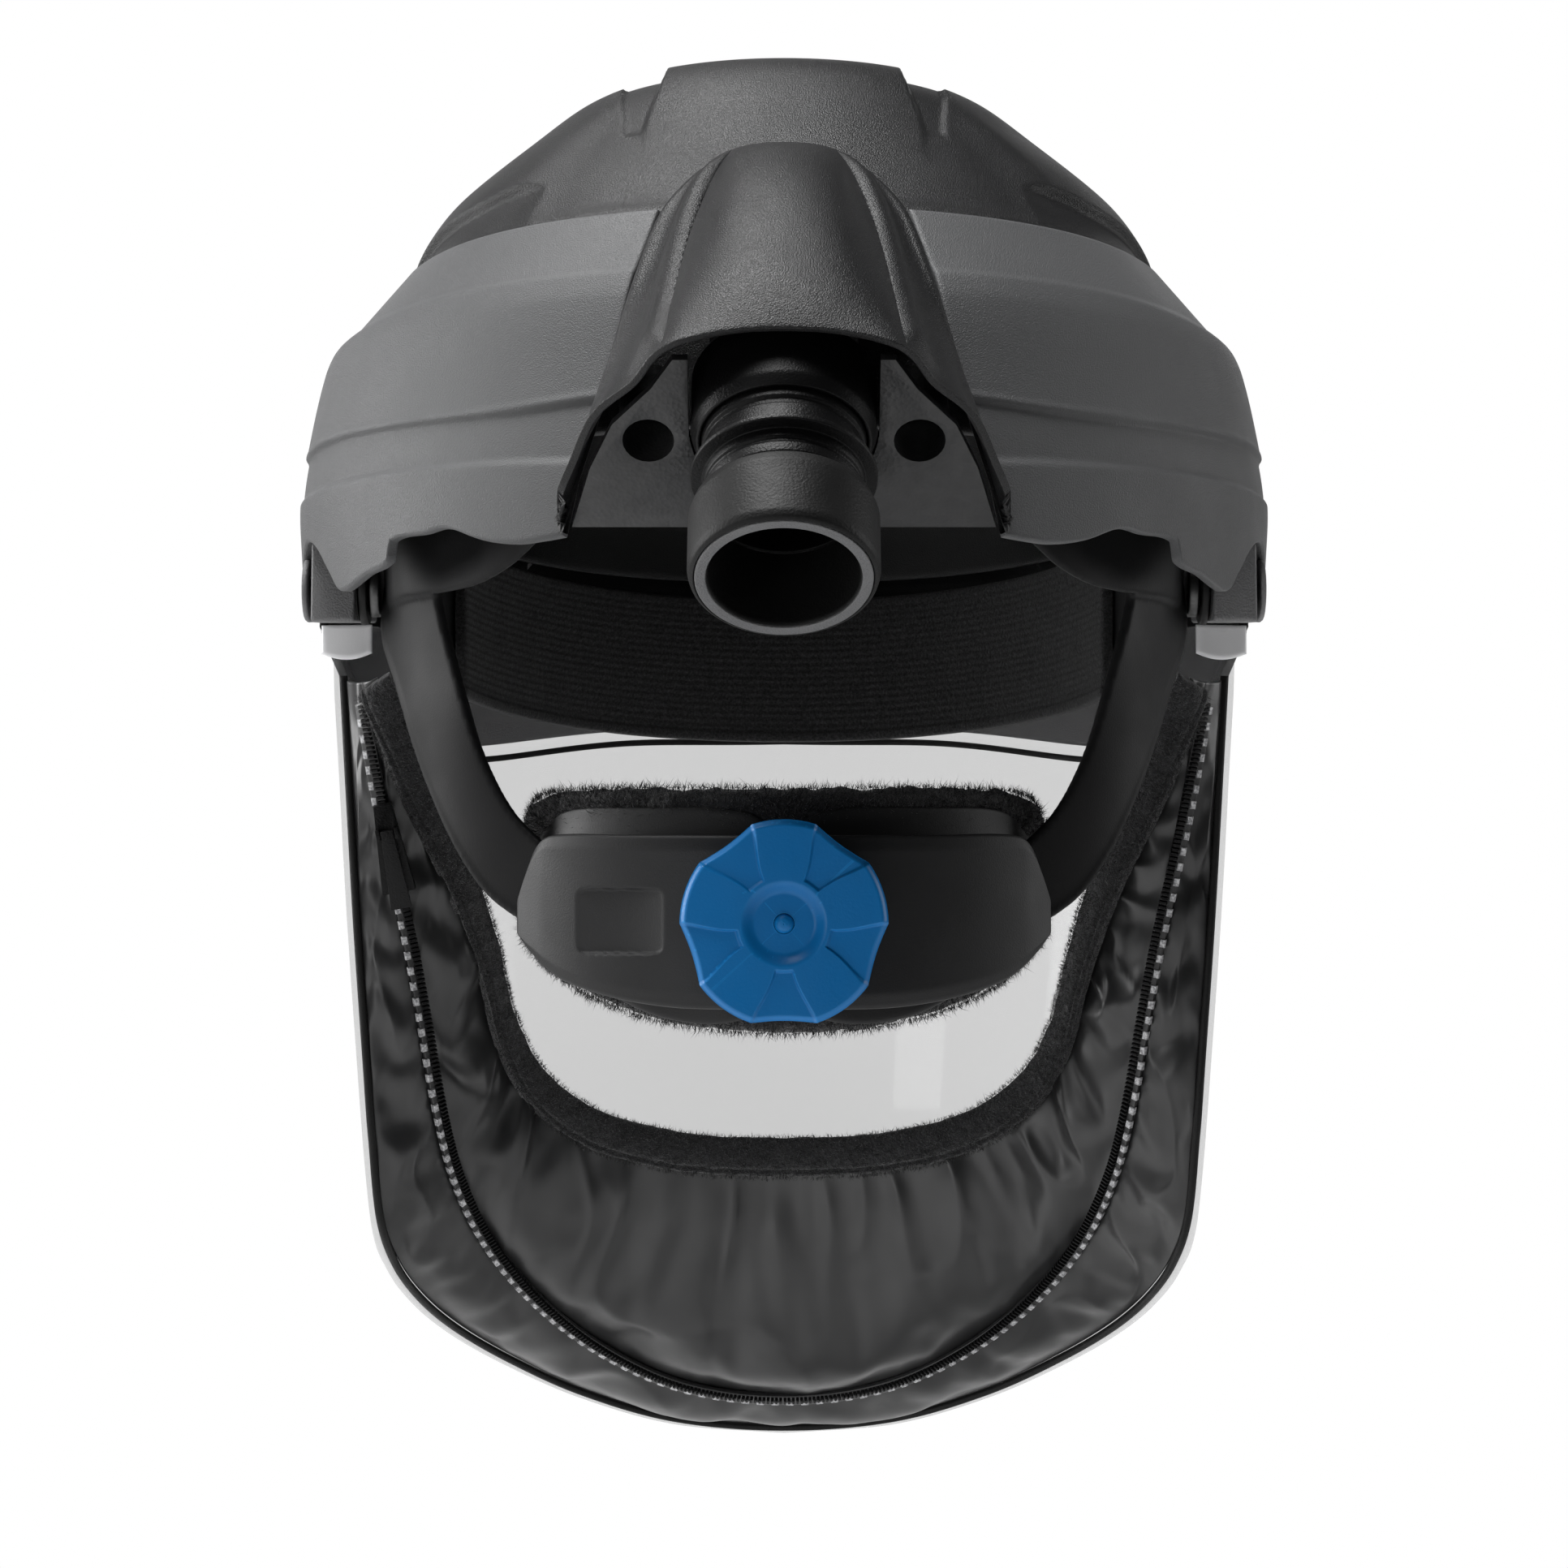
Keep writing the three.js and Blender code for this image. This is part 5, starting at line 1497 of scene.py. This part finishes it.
def cover_relief(part, v, z):
    """The nape cover's recess window, soft end facets and rounded top and bottom."""
    x = np.sin(part * NAPE_TURN) * NAPE_RADIUS
    aside, above = np.abs(x - WINDOW_MIDDLE) / WINDOW_HALF, np.abs(z) / WINDOW_HEIGHT
    window = 1 - smooth(0.98, 1.04, (aside ** 9 + above ** 9) ** (1 / 9))
    slope = 0.2 + 1.6 * (1 - np.minimum(aside, 1) ** 2)
    ends = 0.8 * smooth(0.84, 1, np.abs(part))
    edge = 0.7 * (smooth(0.9, 1, v) + smooth(0.1, 0, v))
    return -window * slope - ends - edge


def lobed(profile, notch):
    """A height profile with a notch at the middle plane."""
    return lambda part: profile(part) - notch * np.exp(-(part / 0.035) ** 2)


def carrier_relief(part, v, z):
    """The pad carrier's upper edge leans towards the head."""
    return -1.2 * smooth(0.8, 1, v)


def pad_relief(part, v, z):
    """The pad's soft lumps and its thinner upper and lower edges."""
    place = nape_point(part * PAD_TURN, z, 12.4)
    lumps = 0.5 * value_noise(place, 7, 41) + 0.25 * value_noise(place, 2.5, 42)
    return lumps - 1.2 * smooth(0.9, 1, np.abs(2 * v - 1))


def make_nape():
    surface = nape_band(0, NAPE_TURN, cover_top, cover_foot, cover_relief)
    cover = plate("nape_cover_finished", surface, 2.0, 300, 90, edge=0.9)
    finish(cover, "root", "harness", "harness_plastic", "nape_cover")
    rounded("nape_housing", 0.5, "root", "inner", "inner_plastic")
    surface = nape_band(10.4, CARRIER_TURN, lobed(carrier_top, 4), lobed(carrier_foot, -3), carrier_relief)
    carrier = plate("nape_pad_carrier_finished", surface, 1.6, 240, 30, edge=0.6)
    finish(carrier, "root", "harness", "harness_plastic", "nape_pad_carrier")
    surface = nape_band(12.8, PAD_TURN, pad_top, pad_foot, pad_relief)
    pad = plate("nape_pad_finished", surface, 5.4, 260, 60, edge=2.2)
    finish(pad, "root", "fleece", "fleece", "nape_pad")
    fuzz = fuzz_on("nape_pad_fuzz", surface, 24000, 2.3, 0.16)
    finish(fuzz, "root", "fleece", "fleece")
    for side in ("left", "right"):
        rounded("rack_" + side, 0.3, "arm_" + side, "inner", "inner_plastic")


# ------------------------------------------------------------------ knob


def knob_outline(angle):
    """The knob's radius at an angle in degrees: round lobes with concave notches between them."""
    gap = np.abs((angle[..., None] - NOTCH_CENTRES + 180) % 360 - 180).min(-1)
    bite = NOTCH_DEPTH * (1 - np.minimum(gap / NOTCH_HALF, 1) ** 2)
    return KNOB_RADIUS - bite, gap


def knob_height(share, gap):
    """Height of the knob's face at a share of its radius, at an angle from the nearest notch's middle."""
    half = mix(POCKET_HALF, NOTCH_HALF, smooth(POCKET_START, 0.98, share))
    pocket = smooth(half + 1.3, half - 1.3, gap) * smooth(POCKET_START - 0.02, POCKET_START + 0.03, share)
    bevel = 1.3 * smooth(0.93, 1.0, share) ** 1.5
    hub = 1.9 * smooth(0.42, 0.28, share)
    return KNOB_FACE - bevel - 0.75 * pocket - hub


def make_knob():
    """The knob, turned from rings whose radius follows its lobes, its pinion and its cap."""
    angle = np.linspace(0, 360, 720, endpoint=False)
    rim, gap = knob_outline(angle)
    turn = angle * RAD
    rings = []
    hub, pockets, edge = np.linspace(0.1, 0.43, 44), np.linspace(0.435, 0.92, 70), np.linspace(0.925, 1, 14)
    for share in np.concatenate([hub, pockets, edge]):
        radius = mix(KNOB_RADIUS, rim, smooth(0.4, 0.6, share)) * share
        rings.append(stacked(radius * np.cos(turn), radius * np.sin(turn), knob_height(share, gap)))
    for z, inset in ((KNOB_START + 1, 0), (KNOB_START + 0.3, 0.3), (KNOB_START, 1)):
        rings.append(stacked((rim - inset) * np.cos(turn), (rim - inset) * np.sin(turn), z))
    for radius, z in ((4.6, KNOB_START), (3.9, KNOB_START + 0.7), (3.9, 8.6), (2.42, 9.0)):
        rings.append(stacked(radius * np.cos(turn), radius * np.sin(turn), z))
    x, y, z = np.moveaxis(np.array(rings), -1, 0)
    knob = facing_out(tube_mesh("knob_finished", on_nape(stacked(x, z, y))))
    knob.data.set_sharp_from_angle(angle=42 * RAD)
    finish(knob, "knob", "blue", "blue_plastic", "knob")
    rounded("knob_pinion", 0.25, "knob", "inner", "inner_plastic")
    profile = [(0.02, 9.6), (2.3, 9.6), (2.3, 10.2), (1.9, 11.0), (1.2, 11.5), (0.02, 11.7)]
    place = Matrix.Translation(NAPE_CENTRE) @ Matrix.Rotation(-NAPE_TILT - math.pi / 2, 4, "X")
    cap = lathe("knob_cap_finished", filleted(profile, 0.3), place, 64)
    finish(cap, "knob", "blue", "blue_plastic", "knob_cap")


# ------------------------------------------------------------------ the whole headtop

make_crown()
make_panels()
make_duct()
make_connector()
make_air_path()
make_pivots()
make_visor_frame()
make_lens()
make_seal()
make_band()
make_zipper()
make_headband()
make_arms()
make_nape()
make_knob()

bpy.context.view_layer.update()
